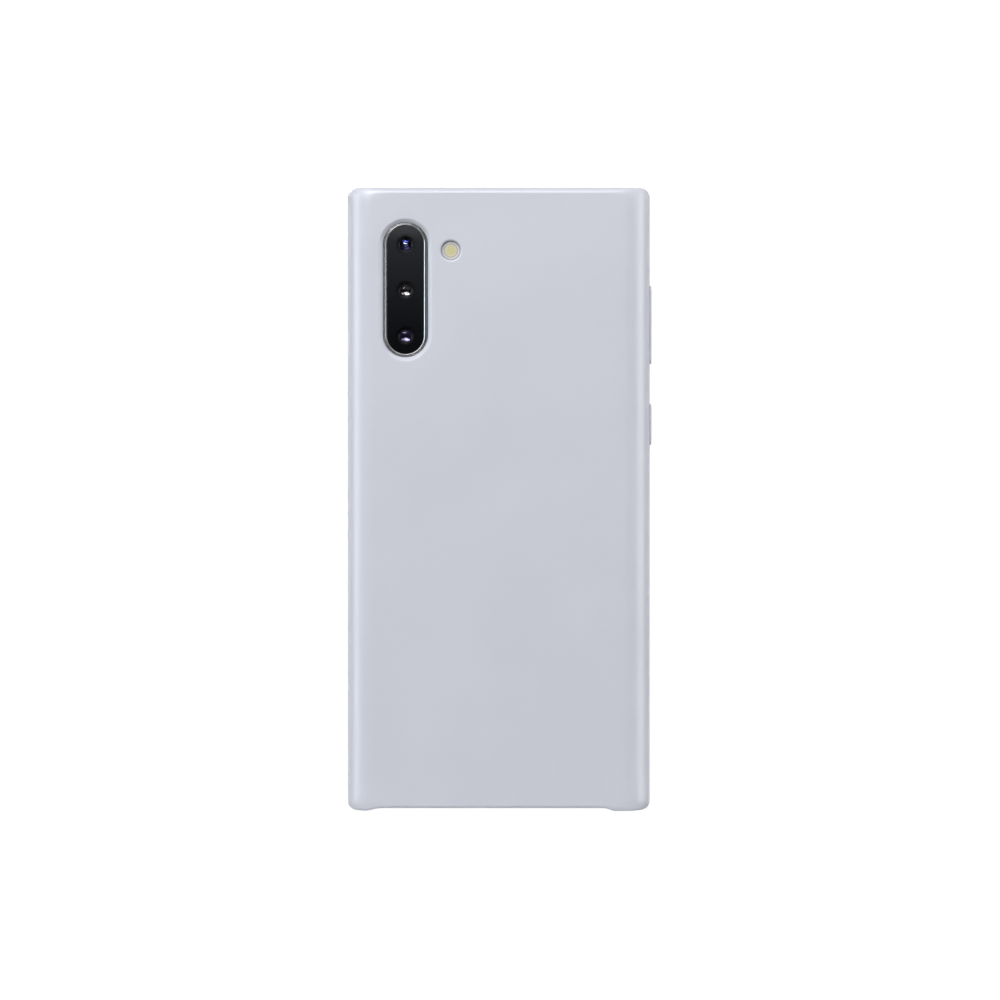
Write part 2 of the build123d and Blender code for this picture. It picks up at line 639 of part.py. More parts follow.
def sim_socket():
    """Stamped card reader soldered to the board."""
    z = (HALF_H - SIM_LEN - 1.2, HALF_H - WALL - 0.3)
    shell = block(around(SIM_X, SIM_W + 1.0), (SIM_Y - 0.8, BOARD_Y[0] - 0.01), z)
    return shell - block(around(SIM_X, SIM_W + 0.2), around(SIM_Y, 1.0), (z[0] + 0.5, z[1] + 1))


# ---- stylus -------------------------------------------------------------------------------------------
CONE_LEN, NIB_LEN, NIB_R = 11.0, 1.6, 0.45


def pen_silo():
    """Plastic sleeve that guides the stylus."""
    z = (-HALF_H + WALL + 0.05, PEN_TOP + 2.0)
    outer = Rectangle(PEN_W + 2 * (PEN_CLEAR + SILO_WALL_X), PEN_T + 2 * (PEN_CLEAR + SILO_WALL_Y))
    sleeve = prism_z(outer, z, PEN_X, PEN_Y)
    return sleeve - prism_z(pen_profile(PEN_CLEAR), (z[0] - 1, z[1] - 1.0), PEN_X, PEN_Y)


def pen_button_recess(grow=0.0):
    """Long recess in the flat of the barrel for its side button."""
    return plate(2.2 + 2 * grow, 13.0 + 2 * grow, 1.0, (PEN_Y + 0.9, FAR), PEN_X, PEN_TOP - 30.0)


def pen_body():
    """Barrel of the stylus: a hollow rounded bar with a tapered nose."""
    nose = PEN_TOP - CONE_LEN - NIB_LEN
    bottom = -HALF_H + CLICKER_H + CLICKER_GAP
    barrel = prism_z(pen_profile(), (bottom, nose), PEN_X, PEN_Y)
    tip_face = Pos(PEN_X, PEN_Y, nose + CONE_LEN) * RectangleRounded(1.9, 1.7, 0.8)
    base_face = Pos(PEN_X, PEN_Y, nose) * pen_profile()
    barrel += loft([base_face, tip_face])
    barrel -= prism_z(RectangleRounded(4.4, 2.95, 1.2), (bottom - 1, nose - 2), PEN_X, PEN_Y)
    barrel -= prism_z(Circle(NIB_R + 0.05), (nose - 3, PEN_TOP), PEN_X, PEN_Y)
    return barrel - pen_button_recess(0.1)


def pen_nib():
    """Replaceable plastic nib on a long stem."""
    stem = prism_z(Circle(NIB_R), (PEN_TOP - 15.0, PEN_TOP - 0.45), PEN_X, PEN_Y)
    return stem + Pos(PEN_X, PEN_Y, PEN_TOP - 0.45) * Sphere(NIB_R)


def pen_core():
    """Ferrite coil, circuit board and storage capacitor inside the barrel."""
    nose = PEN_TOP - CONE_LEN - NIB_LEN
    coil = prism_z(Circle(1.35) - Circle(0.6), (nose - 10, nose - 3), PEN_X, PEN_Y)
    board = block(around(PEN_X, 3.6), around(PEN_Y, 0.5), (nose - 50, nose - 10))
    cell = prism_z(Circle(1.3), (nose - 78, nose - 50), PEN_X, PEN_Y)
    return coil + board + cell


def pen_button():
    """Rocker of the stylus's side button."""
    return plate(2.2, 13.0, 1.0, (PEN_Y + 1.3, PEN_Y + PEN_T / 2 - 0.02), PEN_X, PEN_TOP - 30.0)


def pen_clicker():
    """End cap, flush with the phone's bottom end, on a sliding stem."""
    cap = prism_z(pen_profile(), (-HALF_H, -HALF_H + CLICKER_H), PEN_X, PEN_Y)
    stem = prism_z(RectangleRounded(4.1, 2.65, 1.1), (-HALF_H + CLICKER_H - 0.1, -HALF_H + 11), PEN_X, PEN_Y)
    return (cap + stem) & phone_volume(0)


# ---- silicone cover -----------------------------------------------------------------------------------
COVER_HALF_W = HALF_W + COVER_WALL
COVER_BACK_Y = -HALF_T - COVER_BACK
PORT_CUT_X = (-31.5, 27.7)  # the opening for stylus, port and speaker
OPENING_MARGIN = 0.5
VOLUME_PAD_LEN, POWER_PAD_LEN = VOLUME_LEN + 2 * PAD_MARGIN, POWER_LEN + 2 * PAD_MARGIN


def cover_outline():
    """Outline from the back: square shoulders, and two feet below the port opening's sill."""
    foot, sill, top = -HALF_H - COVER_LEG, -HALF_H - COVER_SILL, HALF_H + COVER_TOP
    steps = [(PORT_CUT_X[0] - 1.7, foot), (PORT_CUT_X[0] + 1.8, sill), (26.7, sill), (28.7, foot)]
    shoulders = [(COVER_HALF_W, foot), (COVER_HALF_W, top), (-COVER_HALF_W, top)]
    outline = make_face(Polyline((-COVER_HALF_W, foot), *steps, *shoulders, close=True))
    outline = fillet([v for v in outline.vertices() if abs(v.X) < COVER_HALF_W - 0.01], 1.5)
    return fillet([v for v in outline.vertices() if abs(v.X) > COVER_HALF_W - 0.01], COVER_R)


def lip_cut():
    """What is cut away along both sides, so that the lip is low there and high round the two ends."""
    low, high, ease = 58.0, 70.0, 5.5
    with BuildSketch() as cut:
        with BuildLine():
            Line((LIP_LOW, -low), (LIP_LOW, low))
            Bezier((LIP_LOW, low), (LIP_LOW, low + ease), (LIP_HIGH, high - ease), (LIP_HIGH, high))
            Line((LIP_HIGH, high), (FAR, high))
            Line((FAR, high), (FAR, -high))
            Line((FAR, -high), (LIP_HIGH, -high))
            Bezier((LIP_HIGH, -high), (LIP_HIGH, ease - high), (LIP_LOW, -low - ease), (LIP_LOW, -low))
        make_face()
    return prism_x(cut.sketch, (-60, 60))


def cover_volume():
    """The cover's outer volume, before the phone's space is taken out."""
    section = side_section(COVER_HALF_W, COVER_BACK_Y, LIP_HIGH, COVER_CURVE, 0.9, (-1.15, 2.0))
    long = prism_z(section, (-HALF_H - 5, HALF_H + 5))
    outline = prism_y(cover_outline(), (-FAR, FAR))
    depth, height = LIP_HIGH - COVER_BACK_Y, PHONE_H + COVER_TOP + COVER_LEG
    middle_z = (COVER_TOP - COVER_LEG) / 2
    ends = prism_x(RectangleRounded(depth, height, 1.1), (-60, 60), (LIP_HIGH + COVER_BACK_Y) / 2, middle_z)
    return (long & outline & ends) - lip_cut()


def key_window(z, length):
    """Opening for a pad, and the shallow groove the phone's key passes along as the cover comes off."""
    opening = RectangleRounded(PAD_H + 2 * PAD_GAP, length + 2 * PAD_GAP, 1.2)
    window = prism_x(opening, (HALF_W - 1, COVER_HALF_W + 2), 0, z)
    groove = block((HALF_W - 1, HALF_W + KEY_OUT + 0.12), (-1.0, FAR), around(z, length - 0.2))
    return window + groove


def silicone_cover():
    cover = cover_volume()
    cover -= phone_volume(-FIT)
    cover -= plate(PHONE_W + 2 * FIT, PHONE_H + 2 * FIT, CORNER_R + FIT, (-SIDE_FLAT, FAR))
    cover -= plate(LINING_W + 0.2, LINING_H + 0.2, 2.6, (-HALF_T - FIT - LINING_T - 0.01, 0))
    hole_w, hole_h = ISLAND_W + OPENING_MARGIN, ISLAND_H + OPENING_MARGIN
    through = (COVER_BACK_Y - 1, 0)
    cover -= slot_z(hole_w, hole_h, through)
    cover -= disc(FLASH_R + 0.3, through, FLASH_X, FLASH_Z)
    rims = cover.edges().filter_by_position(Axis.Y, COVER_BACK_Y - 0.01, COVER_BACK_Y + 0.01)
    rims = [e for e in rims if -30 < e.center().X < -5 and e.center().Z < 72 and e.center().Z > 30]
    cover = fillet(rims, 0.7)
    cover -= block(PORT_CUT_X, (-3.6, FAR), (-HALF_H - 5, -HALF_H + 0.5))
    cover -= key_window(VOLUME_Z, VOLUME_PAD_LEN)
    cover -= key_window(POWER_Z, POWER_PAD_LEN)
    return cover - prism_z(Circle(0.8), (HALF_H - 1, HALF_H + 5), TOP_MIC_X, PORT_Y)


def cover_lining():
    """Soft microfibre bonded inside the cover's back."""
    lining = plate(LINING_W, LINING_H, 2.5, (-HALF_T - FIT - LINING_T, -HALF_T - FIT + 0.02))
    lining -= slot_z(ISLAND_W + 1.5, ISLAND_H + 1.5, (-FAR, 0))
    return lining - disc(FLASH_R + 0.8, (-FAR, 0), FLASH_X, FLASH_Z)


def key_pad(z, length):
    """Raised pad of the cover over one key."""
    x = (HALF_W + KEY_OUT + 0.04, COVER_HALF_W + PAD_OUT)
    pad = prism_x(RectangleRounded(PAD_H, length, 1.1), x, 0, z)
    return fillet(pad.edges().group_by(Axis.X)[-1], 0.35)


def volume_pad():
    return key_pad(VOLUME_Z, VOLUME_PAD_LEN)


def power_pad():
    return key_pad(POWER_Z, POWER_PAD_LEN)


# ---- fingerprint sensor -------------------------------------------------------------------------------
def fingerprint_sensor():
    """Ultrasonic sensor behind the lower middle of the display."""
    return plate(20.0, 6.0, 0.6, (PLATE_BACK + 0.1, PLATE_FRONT + 0.08), z=-44.0)


SUBPARTS = {
    "silicone_cover": silicone_cover,
    "cover_lining": cover_lining,
    "volume_pad": volume_pad,
    "power_pad": power_pad,
    "mid_frame": mid_frame,
    "antenna_breaks": antenna_breaks,
    "back_glass": back_glass,
    "front_glass": front_glass,
    "back_adhesive": back_adhesive,
    "display_panel": display_panel,
    "display_adhesive": display_adhesive,
    "fingerprint_sensor": fingerprint_sensor,
    "camera_ring": camera_ring,
    "camera_window": camera_window,
    "flash_window": flash_window,
    "flash_led": flash_led,
    "ultrawide_camera": lambda: camera_module("ultrawide"),
    "ultrawide_barrel": lambda: lens_barrel("ultrawide", 1.5, 2.5),
    "ultrawide_element": lambda: lens_element("ultrawide", 1.5, -3.5),
    "wide_camera": lambda: camera_module("wide"),
    "wide_barrel": lambda: lens_barrel("wide", 1.6, 2.0),
    "wide_element": lambda: lens_element("wide", 1.6, -3.55),
    "tele_camera": lambda: camera_module("tele"),
    "tele_barrel": lambda: lens_barrel("tele", 1.6, 2.0),
    "tele_element": lambda: lens_element("tele", 1.6, -3.55),
    "image_sensors": image_sensors,
    "front_camera": front_camera,
    "front_barrel": front_barrel,
    "front_element": front_element,
    "main_board": main_board,
    "shield_cans": shield_cans,
    "board_chips": board_chips,
    "sub_board": sub_board,
    "board_flex": board_flex,
    "battery": battery,
    "charging_coil": charging_coil,
    "coil_ferrite": coil_ferrite,
    "heat_spreader": heat_spreader,
    "upper_bracket": upper_bracket,
    "screws": screws,
    "earpiece": earpiece,
    "speaker_box": speaker_box,
    "speaker_cone": speaker_cone,
    "port_meshes": port_meshes,
    "microphones": microphones,
    "motor_housing": motor_housing,
    "motor_mass": motor_mass,
    "volume_key": volume_key,
    "power_key": power_key,
    "key_switches": key_switches,
    "usb_shell": usb_shell,
    "usb_tongue": usb_tongue,
    "sim_tray": sim_tray,
    "sim_socket": sim_socket,
    "pen_silo": pen_silo,
    "pen_body": pen_body,
    "pen_nib": pen_nib,
    "pen_core": pen_core,
    "pen_button": pen_button,
    "pen_clicker": pen_clicker,
}


def main():
    os.makedirs("parts", exist_ok=True)
    for name, make in SUBPARTS.items():
        export_step(Pos(*ROW_SHIFT) * make(), f"parts/{name}.step")


if __name__ == "__main__":
    main()
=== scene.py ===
"""Studio view of the phone in its silicone cover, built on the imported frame.

Lengths in the shape code are millimetres from the phone's own centre: X to the right seen from the back,
Y from the back glass towards the screen, Z up. Every vertex passes through world(), which moves it to the
row frame. Lights, camera and floor are in metres.
"""

import json
from math import acos, cos, hypot, pi, radians, sin, sqrt, tan

import bmesh
import bpy
import numpy as np
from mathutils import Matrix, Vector

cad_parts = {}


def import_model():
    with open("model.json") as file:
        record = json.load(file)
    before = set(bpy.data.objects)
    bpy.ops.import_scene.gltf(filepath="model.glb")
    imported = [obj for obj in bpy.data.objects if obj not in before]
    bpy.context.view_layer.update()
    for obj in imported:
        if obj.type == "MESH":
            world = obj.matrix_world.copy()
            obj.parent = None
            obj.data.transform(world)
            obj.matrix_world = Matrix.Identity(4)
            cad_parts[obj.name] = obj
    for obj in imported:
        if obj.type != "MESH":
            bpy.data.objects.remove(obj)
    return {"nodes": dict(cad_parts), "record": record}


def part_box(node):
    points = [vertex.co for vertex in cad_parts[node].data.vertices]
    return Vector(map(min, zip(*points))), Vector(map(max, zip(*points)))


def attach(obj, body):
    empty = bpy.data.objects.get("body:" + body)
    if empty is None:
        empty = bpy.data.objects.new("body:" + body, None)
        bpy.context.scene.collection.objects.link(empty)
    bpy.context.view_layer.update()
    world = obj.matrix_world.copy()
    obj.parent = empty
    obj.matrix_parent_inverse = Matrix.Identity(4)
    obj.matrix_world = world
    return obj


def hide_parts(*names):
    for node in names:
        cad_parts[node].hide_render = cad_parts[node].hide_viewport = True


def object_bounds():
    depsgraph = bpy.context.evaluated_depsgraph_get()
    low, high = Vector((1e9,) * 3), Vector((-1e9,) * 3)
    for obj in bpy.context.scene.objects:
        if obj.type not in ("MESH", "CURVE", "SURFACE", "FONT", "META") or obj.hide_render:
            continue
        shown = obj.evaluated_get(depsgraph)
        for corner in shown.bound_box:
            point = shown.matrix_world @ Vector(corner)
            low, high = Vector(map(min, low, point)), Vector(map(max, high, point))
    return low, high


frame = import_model()
CAD_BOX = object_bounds()
NODES = frame["nodes"]

# ---- sizes, read from the frame ----------------------------------------
MM = 0.001
_lo, _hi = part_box("mid_frame")
ORIGIN = (_lo + _hi) / 2


def world(x, y, z):
    return Vector((x * MM + ORIGIN.x, y * MM + ORIGIN.y, z * MM + ORIGIN.z))


def local_box(node):
    """A CAD node's box in phone millimetres, as ((x, x), (y, y), (z, z))."""
    lo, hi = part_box(node)
    return tuple(((lo[i] - ORIGIN[i]) / MM, (hi[i] - ORIGIN[i]) / MM) for i in range(3))


COVER = local_box("silicone_cover")
COVER_W = (COVER[0][1] - COVER[0][0]) / 2
COVER_TOP, COVER_FOOT = COVER[2][1], COVER[2][0]
COVER_BACK, LIP_HIGH = COVER[1]
LIP_LOW = 2.3  # the lip's height along the sides
PHONE = local_box("mid_frame")
PHONE_W, PHONE_H = PHONE[0][1], PHONE[2][1]
PHONE_T = 3.95  # half the phone's thickness


def middle(node):
    """A CAD node's middle seen from the back, in phone millimetres."""
    (x0, x1), _, (z0, z1) = local_box(node)
    return (x0 + x1) / 2, (z0 + z1) / 2


RING = local_box("camera_ring")
RING_TOP = RING[1][0]
RING_RISE = 0.08  # the trim's visible middle is this far above the frame's
ISLAND = (middle("camera_ring")[0], middle("camera_ring")[1] + RING_RISE)
ISLAND_R, ISLAND_HALF = (RING[0][1] - RING[0][0]) / 2, (RING[2][1] - RING[2][0]) / 2
FLASH = local_box("flash_window")
FLASH_C = middle("flash_window")
LENSES = {name: middle(name + "_barrel") for name in ("ultrawide", "wide", "tele")}
FRONT_LENS = middle("front_barrel")


# ---- node helpers for materials ----------------------------------------
class Tree:
    """A short way to write the node tree of a material, or of the world."""

    def __init__(self, name, owner=None):
        self.material = owner or bpy.data.materials.new(name)
        self.material.use_nodes = True
        self.nodes = self.material.node_tree.nodes
        self.links = self.material.node_tree.links
        self.bsdf = self.nodes.get("Principled BSDF")
        self.out = self.nodes.get("Material Output")
        self._coords = None

    def add(self, kind, inputs=None, **settings):
        node = self.nodes.new("ShaderNode" + kind)
        for key, value in settings.items():
            setattr(node, key, value)
        for key, value in (inputs or {}).items():
            self.set(node.inputs[key], value)
        return node

    def get(self, kind, inputs=None, **settings):
        """Adds a node and returns its first output."""
        return self.add(kind, inputs, **settings).outputs[0]

    def set(self, socket, value):
        if isinstance(value, bpy.types.NodeSocket):
            self.links.new(value, socket)
        else:
            socket.default_value = value

    def surface(self, **inputs):
        """Sets inputs of the main shader, their names written with underscores."""
        for key, value in inputs.items():
            self.set(self.bsdf.inputs[key.replace("_", " ")], value)

    def shade_with(self, shader, other, share=None):
        """Makes two shaders the surface: added, or the second mixed in by a share."""
        if share is None:
            both = self.get("AddShader", {0: shader, 1: other})
        else:
            both = self.get("MixShader", {0: share, 1: shader, 2: other})
        self.links.new(both, self.out.inputs["Surface"])

    def coords(self):
        """Object coordinates in millimetres from the phone's centre."""
        if self._coords is None:
            source = self.add("TexCoord").outputs["Object"]
            shift = self.get("VectorMath", {0: source, 1: tuple(-ORIGIN)}, operation="ADD")
            self._coords = self.get("VectorMath", {0: shift, "Scale": 1 / MM}, operation="SCALE")
        return self._coords

    def stretched(self, scale):
        return self.get("VectorMath", {0: self.coords(), 1: scale}, operation="MULTIPLY")

    def noise(self, per_mm, detail=3.0, rough=0.55, vector=None, distortion=0.0):
        inputs = {"Vector": vector or self.coords(), "Scale": per_mm, "Detail": detail, "Roughness": rough}
        return self.add("TexNoise", inputs | {"Distortion": distortion}).outputs["Fac"]

    def math(self, operation, a, b=0.0):
        return self.get("Math", {0: a, 1: b}, operation=operation)

    def times(self, a, b):
        return self.math("MULTIPLY", a, b)

    def plus(self, a, b):
        return self.math("ADD", a, b)

    def ramp(self, value, low, high, out_low=0.0, out_high=1.0, kind="SMOOTHSTEP"):
        """Carries low to out_low and high to out_high, easing in and out."""
        inputs = {"Value": value, "From Min": low, "From Max": high, "To Min": out_low, "To Max": out_high}
        return self.get("MapRange", inputs, interpolation_type=kind)

    def linear(self, value, low, high, out_low=0.0, out_high=1.0):
        return self.ramp(value, low, high, out_low, out_high, "LINEAR")

    def mix(self, fac, a, b):
        pair = {i: (*v[:3], 1.0) if isinstance(v, tuple) else v for i, v in ((6, a), (7, b))}
        return self.add("Mix", {0: fac} | pair, data_type="RGBA").outputs[2]

    def bump(self, height, strength, distance_mm, normal=None):
        inputs = {"Height": height, "Strength": strength, "Distance": distance_mm * MM}
        return self.get("Bump", inputs | ({"Normal": normal} if normal else {}))

    def xyz(self):
        return self.add("SeparateXYZ", {0: self.coords()}).outputs

    def distance(self, x, z):
        """Distance in millimetres from the line along Y through (x, z)."""
        split = self.xyz()
        dx, dz = self.math("SUBTRACT", split[0], x), self.math("SUBTRACT", split[2], z)
        return self.math("SQRT", self.plus(self.times(dx, dx), self.times(dz, dz)))


def tint(color, by):
    return tuple(min(1.0, max(0.0, c * by)) for c in color)


def basic(name, color, rough, metallic=0.0, fine=8.0, grain=0.04, vary=0.08, streak=None, **extra):
    """A surface with blotchy colour, uneven roughness and a fine grain, streaked along one axis if asked."""
    t = Tree(name)
    blotch = t.noise(0.12, 4.0)
    vector = t.stretched(streak) if streak else None
    grit = t.noise(fine, 2.0, vector=vector)
    mixed = t.plus(t.times(t.noise(0.5), 0.5), t.times(grit, 0.5))
    t.surface(
        Base_Color=t.mix(blotch, tint(color, 1 - vary), tint(color, 1 + vary)), Metallic=metallic,
        Roughness=t.linear(mixed, 0.25, 0.75, rough * 0.8, rough * 1.2), Normal=t.bump(grit, 0.35, grain),
        **extra)
    return t.material


# ---- materials ----------------------------------------
MATERIALS = {}
SILICONE = (0.590, 0.605, 0.674)


def material(name):
    """Runs a function on a new node tree and files the material under its name."""
    def make(paint):
        t = Tree(name)
        paint(t)
        MATERIALS[name] = t.material
        return paint
    return make


def window(t, clear):
    """Lets light straight through a surface where the mask is 1, keeping the glass's reflection."""
    through = t.get("BsdfTransparent", {"Color": (0.97, 0.97, 0.98, 1)})
    gloss = t.get("BsdfGlossy", {"Roughness": 0.04})
    fresnel = t.times(t.get("Fresnel", {"IOR": 1.45}), 0.55)
    pane = t.get("MixShader", {0: fresnel, 1: through, 2: gloss})
    t.shade_with(t.bsdf.outputs[0], pane, clear)


@material("silicone")
def silicone(t):
    """Soft-touch silicone: fine matt skin, faint mottling, a trace of dust and polish where it is handled."""
    mottle = t.noise(0.035, 3.0)
    colour = t.mix(t.ramp(mottle, 0.3, 0.7), tint(SILICONE, 0.985), tint(SILICONE, 1.012))
    speck = t.ramp(t.noise(3.2, 2.0), 0.70, 0.80)
    colour = t.mix(t.times(speck, 0.10), colour, (0.74, 0.74, 0.78))
    handled = t.linear(t.noise(0.09, 4.0), 0.3, 0.7, 0.36, 0.42)
    rough = t.plus(handled, t.linear(t.noise(5.0), 0.2, 0.8, -0.02, 0.02))
    skin = t.bump(t.noise(14.0, 3.0, 0.6), 0.16, 0.012, t.bump(t.noise(0.9, 2.0), 0.12, 0.010))
    t.surface(
        Base_Color=colour, Roughness=rough, Normal=skin, Subsurface_Weight=0.12,
        Subsurface_Radius=(1.0, 0.95, 1.0), Subsurface_Scale=0.0006, Sheen_Weight=0.10,
        Sheen_Roughness=0.45, Specular_IOR_Level=0.75)


@material("microfibre")
def felt(t):
    """Short-pile microfibre, with brushed patches."""
    brushed = t.noise(0.25, 3.0, distortion=1.5)
    fibre = t.noise(9.0, 3.0, vector=t.stretched((1.0, 1.0, 0.35)))
    grey = t.mix(brushed, (0.24, 0.245, 0.265), (0.32, 0.325, 0.345))
    t.surface(
        Base_Color=t.mix(t.ramp(fibre, 0.35, 0.7), grey, (0.40, 0.41, 0.43)), Roughness=0.95,
        Sheen_Weight=0.7, Sheen_Roughness=0.4, Normal=t.bump(fibre, 0.8, 0.08))


def polished_metal(name, colour, rough=0.14, fine=20.0):
    """Bright anodised aluminium with a very fine lengthwise polish."""
    t = Tree(name)
    polish = t.noise(fine, 2.0, vector=t.stretched((1.0, 1.0, 0.08)))
    smudge = t.noise(0.2, 4.0)
    t.surface(Base_Color=t.mix(smudge, tint(colour, 0.96), tint(colour, 1.03)), Metallic=1.0)
    worn = t.linear(smudge, 0.3, 0.7, rough, rough * 1.5)
    rough_mix = t.plus(t.linear(polish, 0.2, 0.8, -0.03, 0.04), worn)
    t.surface(Roughness=rough_mix, Normal=t.bump(polish, 0.08, 0.004))
    return t.material


@material("trim_metal")
def ring(t):
    """Dark polished trim with a fine turned finish."""
    fine = t.noise(18.0, 2.0)
    t.surface(
        Base_Color=t.mix(fine, (0.20, 0.20, 0.205), (0.25, 0.25, 0.255)), Metallic=0.8,
        Roughness=t.linear(fine, 0.2, 0.8, 0.18, 0.25), Normal=t.bump(fine, 0.05, 0.002))


@material("camera_glass")
def camera_glass(t):
    """Black-backed glass with one clear aperture over each lens; its colour carries a painted reflection,
    darker towards the bottom and lighter towards the top.
    """
    z = t.xyz()[2]
    # painted reflection: the colour goes from near black at the bottom to dark grey at the top, standing in
    # for a brighter room mirrored overhead
    painted_reflection_fade = t.linear(z, ISLAND[1] - 17, ISLAND[1] + 17)
    colour = t.mix(t.math("POWER", painted_reflection_fade, 1.6), (0.0032, 0.0035, 0.0045), (0.024, 0.026, 0.030))
    # painted highlight: a lighter band along the top end of the glass
    glow = t.ramp(z, ISLAND[1] + 11.5, ISLAND[1] + 16.5)
    colour = t.mix(glow, colour, (0.048, 0.050, 0.054))
    smear = t.noise(0.35, 4.0)
    t.surface(
        Base_Color=colour, Roughness=t.linear(smear, 0.3, 0.8, 0.035, 0.09), Specular_IOR_Level=0.35,
        Normal=t.bump(t.noise(0.3, 2.0), 0.03, 0.01))
    clear = None
    for centre in LENSES.values():
        hole = t.ramp(t.distance(*centre), 1.70, 2.70, 1.0, 0.0)
        clear = hole if clear is None else t.math("MAXIMUM", clear, hole)
    window(t, clear)


def lens_material(name, deep, edge, film_nm):
    """Coated glass: dark in the middle, with the coating's colour towards the rim."""
    t = Tree(name)
    facing = t.add("LayerWeight", {"Blend": 0.35}).outputs["Facing"]
    t.surface(
        Base_Color=t.mix(facing, deep, edge), Roughness=t.linear(t.noise(2.0), 0.2, 0.8, 0.03, 0.07),
        Specular_IOR_Level=0.9, Coat_Weight=0.6, Coat_Roughness=0.02, Thin_Film_Thickness=film_nm,
        Thin_Film_IOR=1.38)
    return t.material


def dome_material(name, reflection):
    """Clear front element: light passes straight through, the coating tints what it mirrors."""
    t = Tree(name)
    dust = t.ramp(t.noise(8.0), 0.62, 0.75)
    tinted = t.mix(t.times(dust, 0.3), reflection, (0.10, 0.10, 0.11))
    polish = t.linear(t.noise(1.5), 0.2, 0.8, 0.04, 0.08)
    gloss = t.get("BsdfGlossy", {"Color": tinted, "Roughness": polish})
    clear = t.get("BsdfTransparent", {"Color": (0.93, 0.93, 0.95, 1)})
    t.shade_with(clear, gloss)
    return t.material


def bowl_material(name, base, reflection, rough=0.12):
    """Hollow rear surface of a lens: almost black itself, mirroring its coating's colour."""
    t = Tree(name)
    diffuse = t.get("BsdfDiffuse", {"Color": (*base, 1)})
    polish = t.linear(t.noise(1.5), 0.2, 0.8, rough * 0.8, rough * 1.3)
    t.shade_with(diffuse, t.get("BsdfGlossy", {"Color": (*reflection, 1), "Roughness": polish}))
    return t.material


@material("barrel_black")
def barrel(t):
    """Black plastic of the lens barrels, turned with fine concentric steps."""
    steps = None
    for centre in LENSES.values():
        waves = t.math("SINE", t.times(t.distance(*centre), 26.0))
        waves = t.times(waves, t.ramp(t.distance(*centre), 3.4, 3.6, 1.0, 0.0))
        steps = waves if steps is None else t.plus(steps, waves)
    t.surface(
        Base_Color=t.mix(t.noise(1.0), (0.013, 0.013, 0.014), (0.018, 0.018, 0.019)),
        Roughness=t.linear(t.noise(6.0), 0.2, 0.8, 0.42, 0.55), Specular_IOR_Level=0.14,
        Normal=t.bump(steps, 0.2, 0.012))


@material("lens_bezel")
def mouth(t):
    """Bright-turned bezel just in front of the glass of each lens."""
    fine = t.noise(20.0, 2.0)
    t.surface(
        Base_Color=t.mix(fine, (0.10, 0.10, 0.11), (0.16, 0.16, 0.17)), Metallic=1.0,
        Roughness=t.linear(fine, 0.2, 0.8, 0.16, 0.24))


@material("flash_diffuser")
def flash(t):
    """Moulded diffuser: yellow phosphor seen through its middle, a frosted ring outside."""
    r = t.distance(*FLASH_C)
    frost = t.noise(5.0, 2.0)
    core = t.mix(t.ramp(r, 0.8, 1.55), (0.58, 0.54, 0.27), (0.60, 0.58, 0.46))
    line = t.times(t.ramp(r, 1.50, 1.62), t.ramp(r, 1.68, 1.80, 1.0, 0.0))
    body = t.mix(t.ramp(r, 1.60, 1.70), core, (0.60, 0.60, 0.61))
    body = t.mix(t.times(line, 0.75), body, (0.20, 0.17, 0.13))
    t.surface(
        Base_Color=t.mix(t.times(frost, 0.12), body, (0.8, 0.8, 0.78)), Coat_Weight=0.3,
        Roughness=t.linear(frost, 0.2, 0.8, 0.22, 0.36),
        Normal=t.bump(t.math("SINE", t.times(r, 16.0)), 0.20, 0.02))


# where the display's picture area starts to fade and ends, from its middle
PICTURE_X, PICTURE_HEIGHT, PICTURE_Z = (34.1, 34.3), (72.1, 72.3), 0.6


@material("front_glass")
def screen(t):
    """Switched-off display under glass: a black border round a slightly lighter, bluer picture area."""
    x, _, z = t.xyz()
    ax, az = t.math("ABSOLUTE", x), t.math("ABSOLUTE", t.math("SUBTRACT", z, PICTURE_Z))
    inside = t.times(t.ramp(ax, *PICTURE_X, 1.0, 0.0), t.ramp(az, *PICTURE_HEIGHT, 1.0, 0.0))
    spot = t.distance(*FRONT_LENS)
    inside = t.times(inside, t.ramp(spot, 2.15, 2.25))
    weave = t.noise(30.0, 1.0)
    picture = t.mix(weave, (0.0065, 0.007, 0.009), (0.0085, 0.009, 0.0115))
    prints = t.ramp(t.noise(0.07, 5.0, 0.6, distortion=0.8), 0.52, 0.72)
    t.surface(
        Base_Color=t.mix(inside, (0.0018, 0.0018, 0.002), picture), Specular_IOR_Level=0.5,
        Roughness=t.linear(prints, 0.0, 1.0, 0.035, 0.085), Coat_Weight=0.25, Coat_Roughness=0.03)
    window(t, t.ramp(spot, 1.62, 1.78, 1.0, 0.0))


@material("back_glass")
def back_glass(t):
    """Silver film under clear glass, with a soft play of colour."""
    facing = t.add("LayerWeight", {"Blend": 0.5}).outputs["Facing"]
    shift = t.mix(facing, (0.50, 0.54, 0.62), (0.62, 0.50, 0.66))
    t.surface(
        Base_Color=t.mix(t.noise(0.05), shift, (0.58, 0.61, 0.66)), Metallic=0.85,
        Roughness=t.linear(t.noise(0.2, 4.0), 0.3, 0.7, 0.16, 0.24), Coat_Weight=1.0,
        Coat_Roughness=t.linear(t.noise(0.3), 0.3, 0.7, 0.02, 0.06))


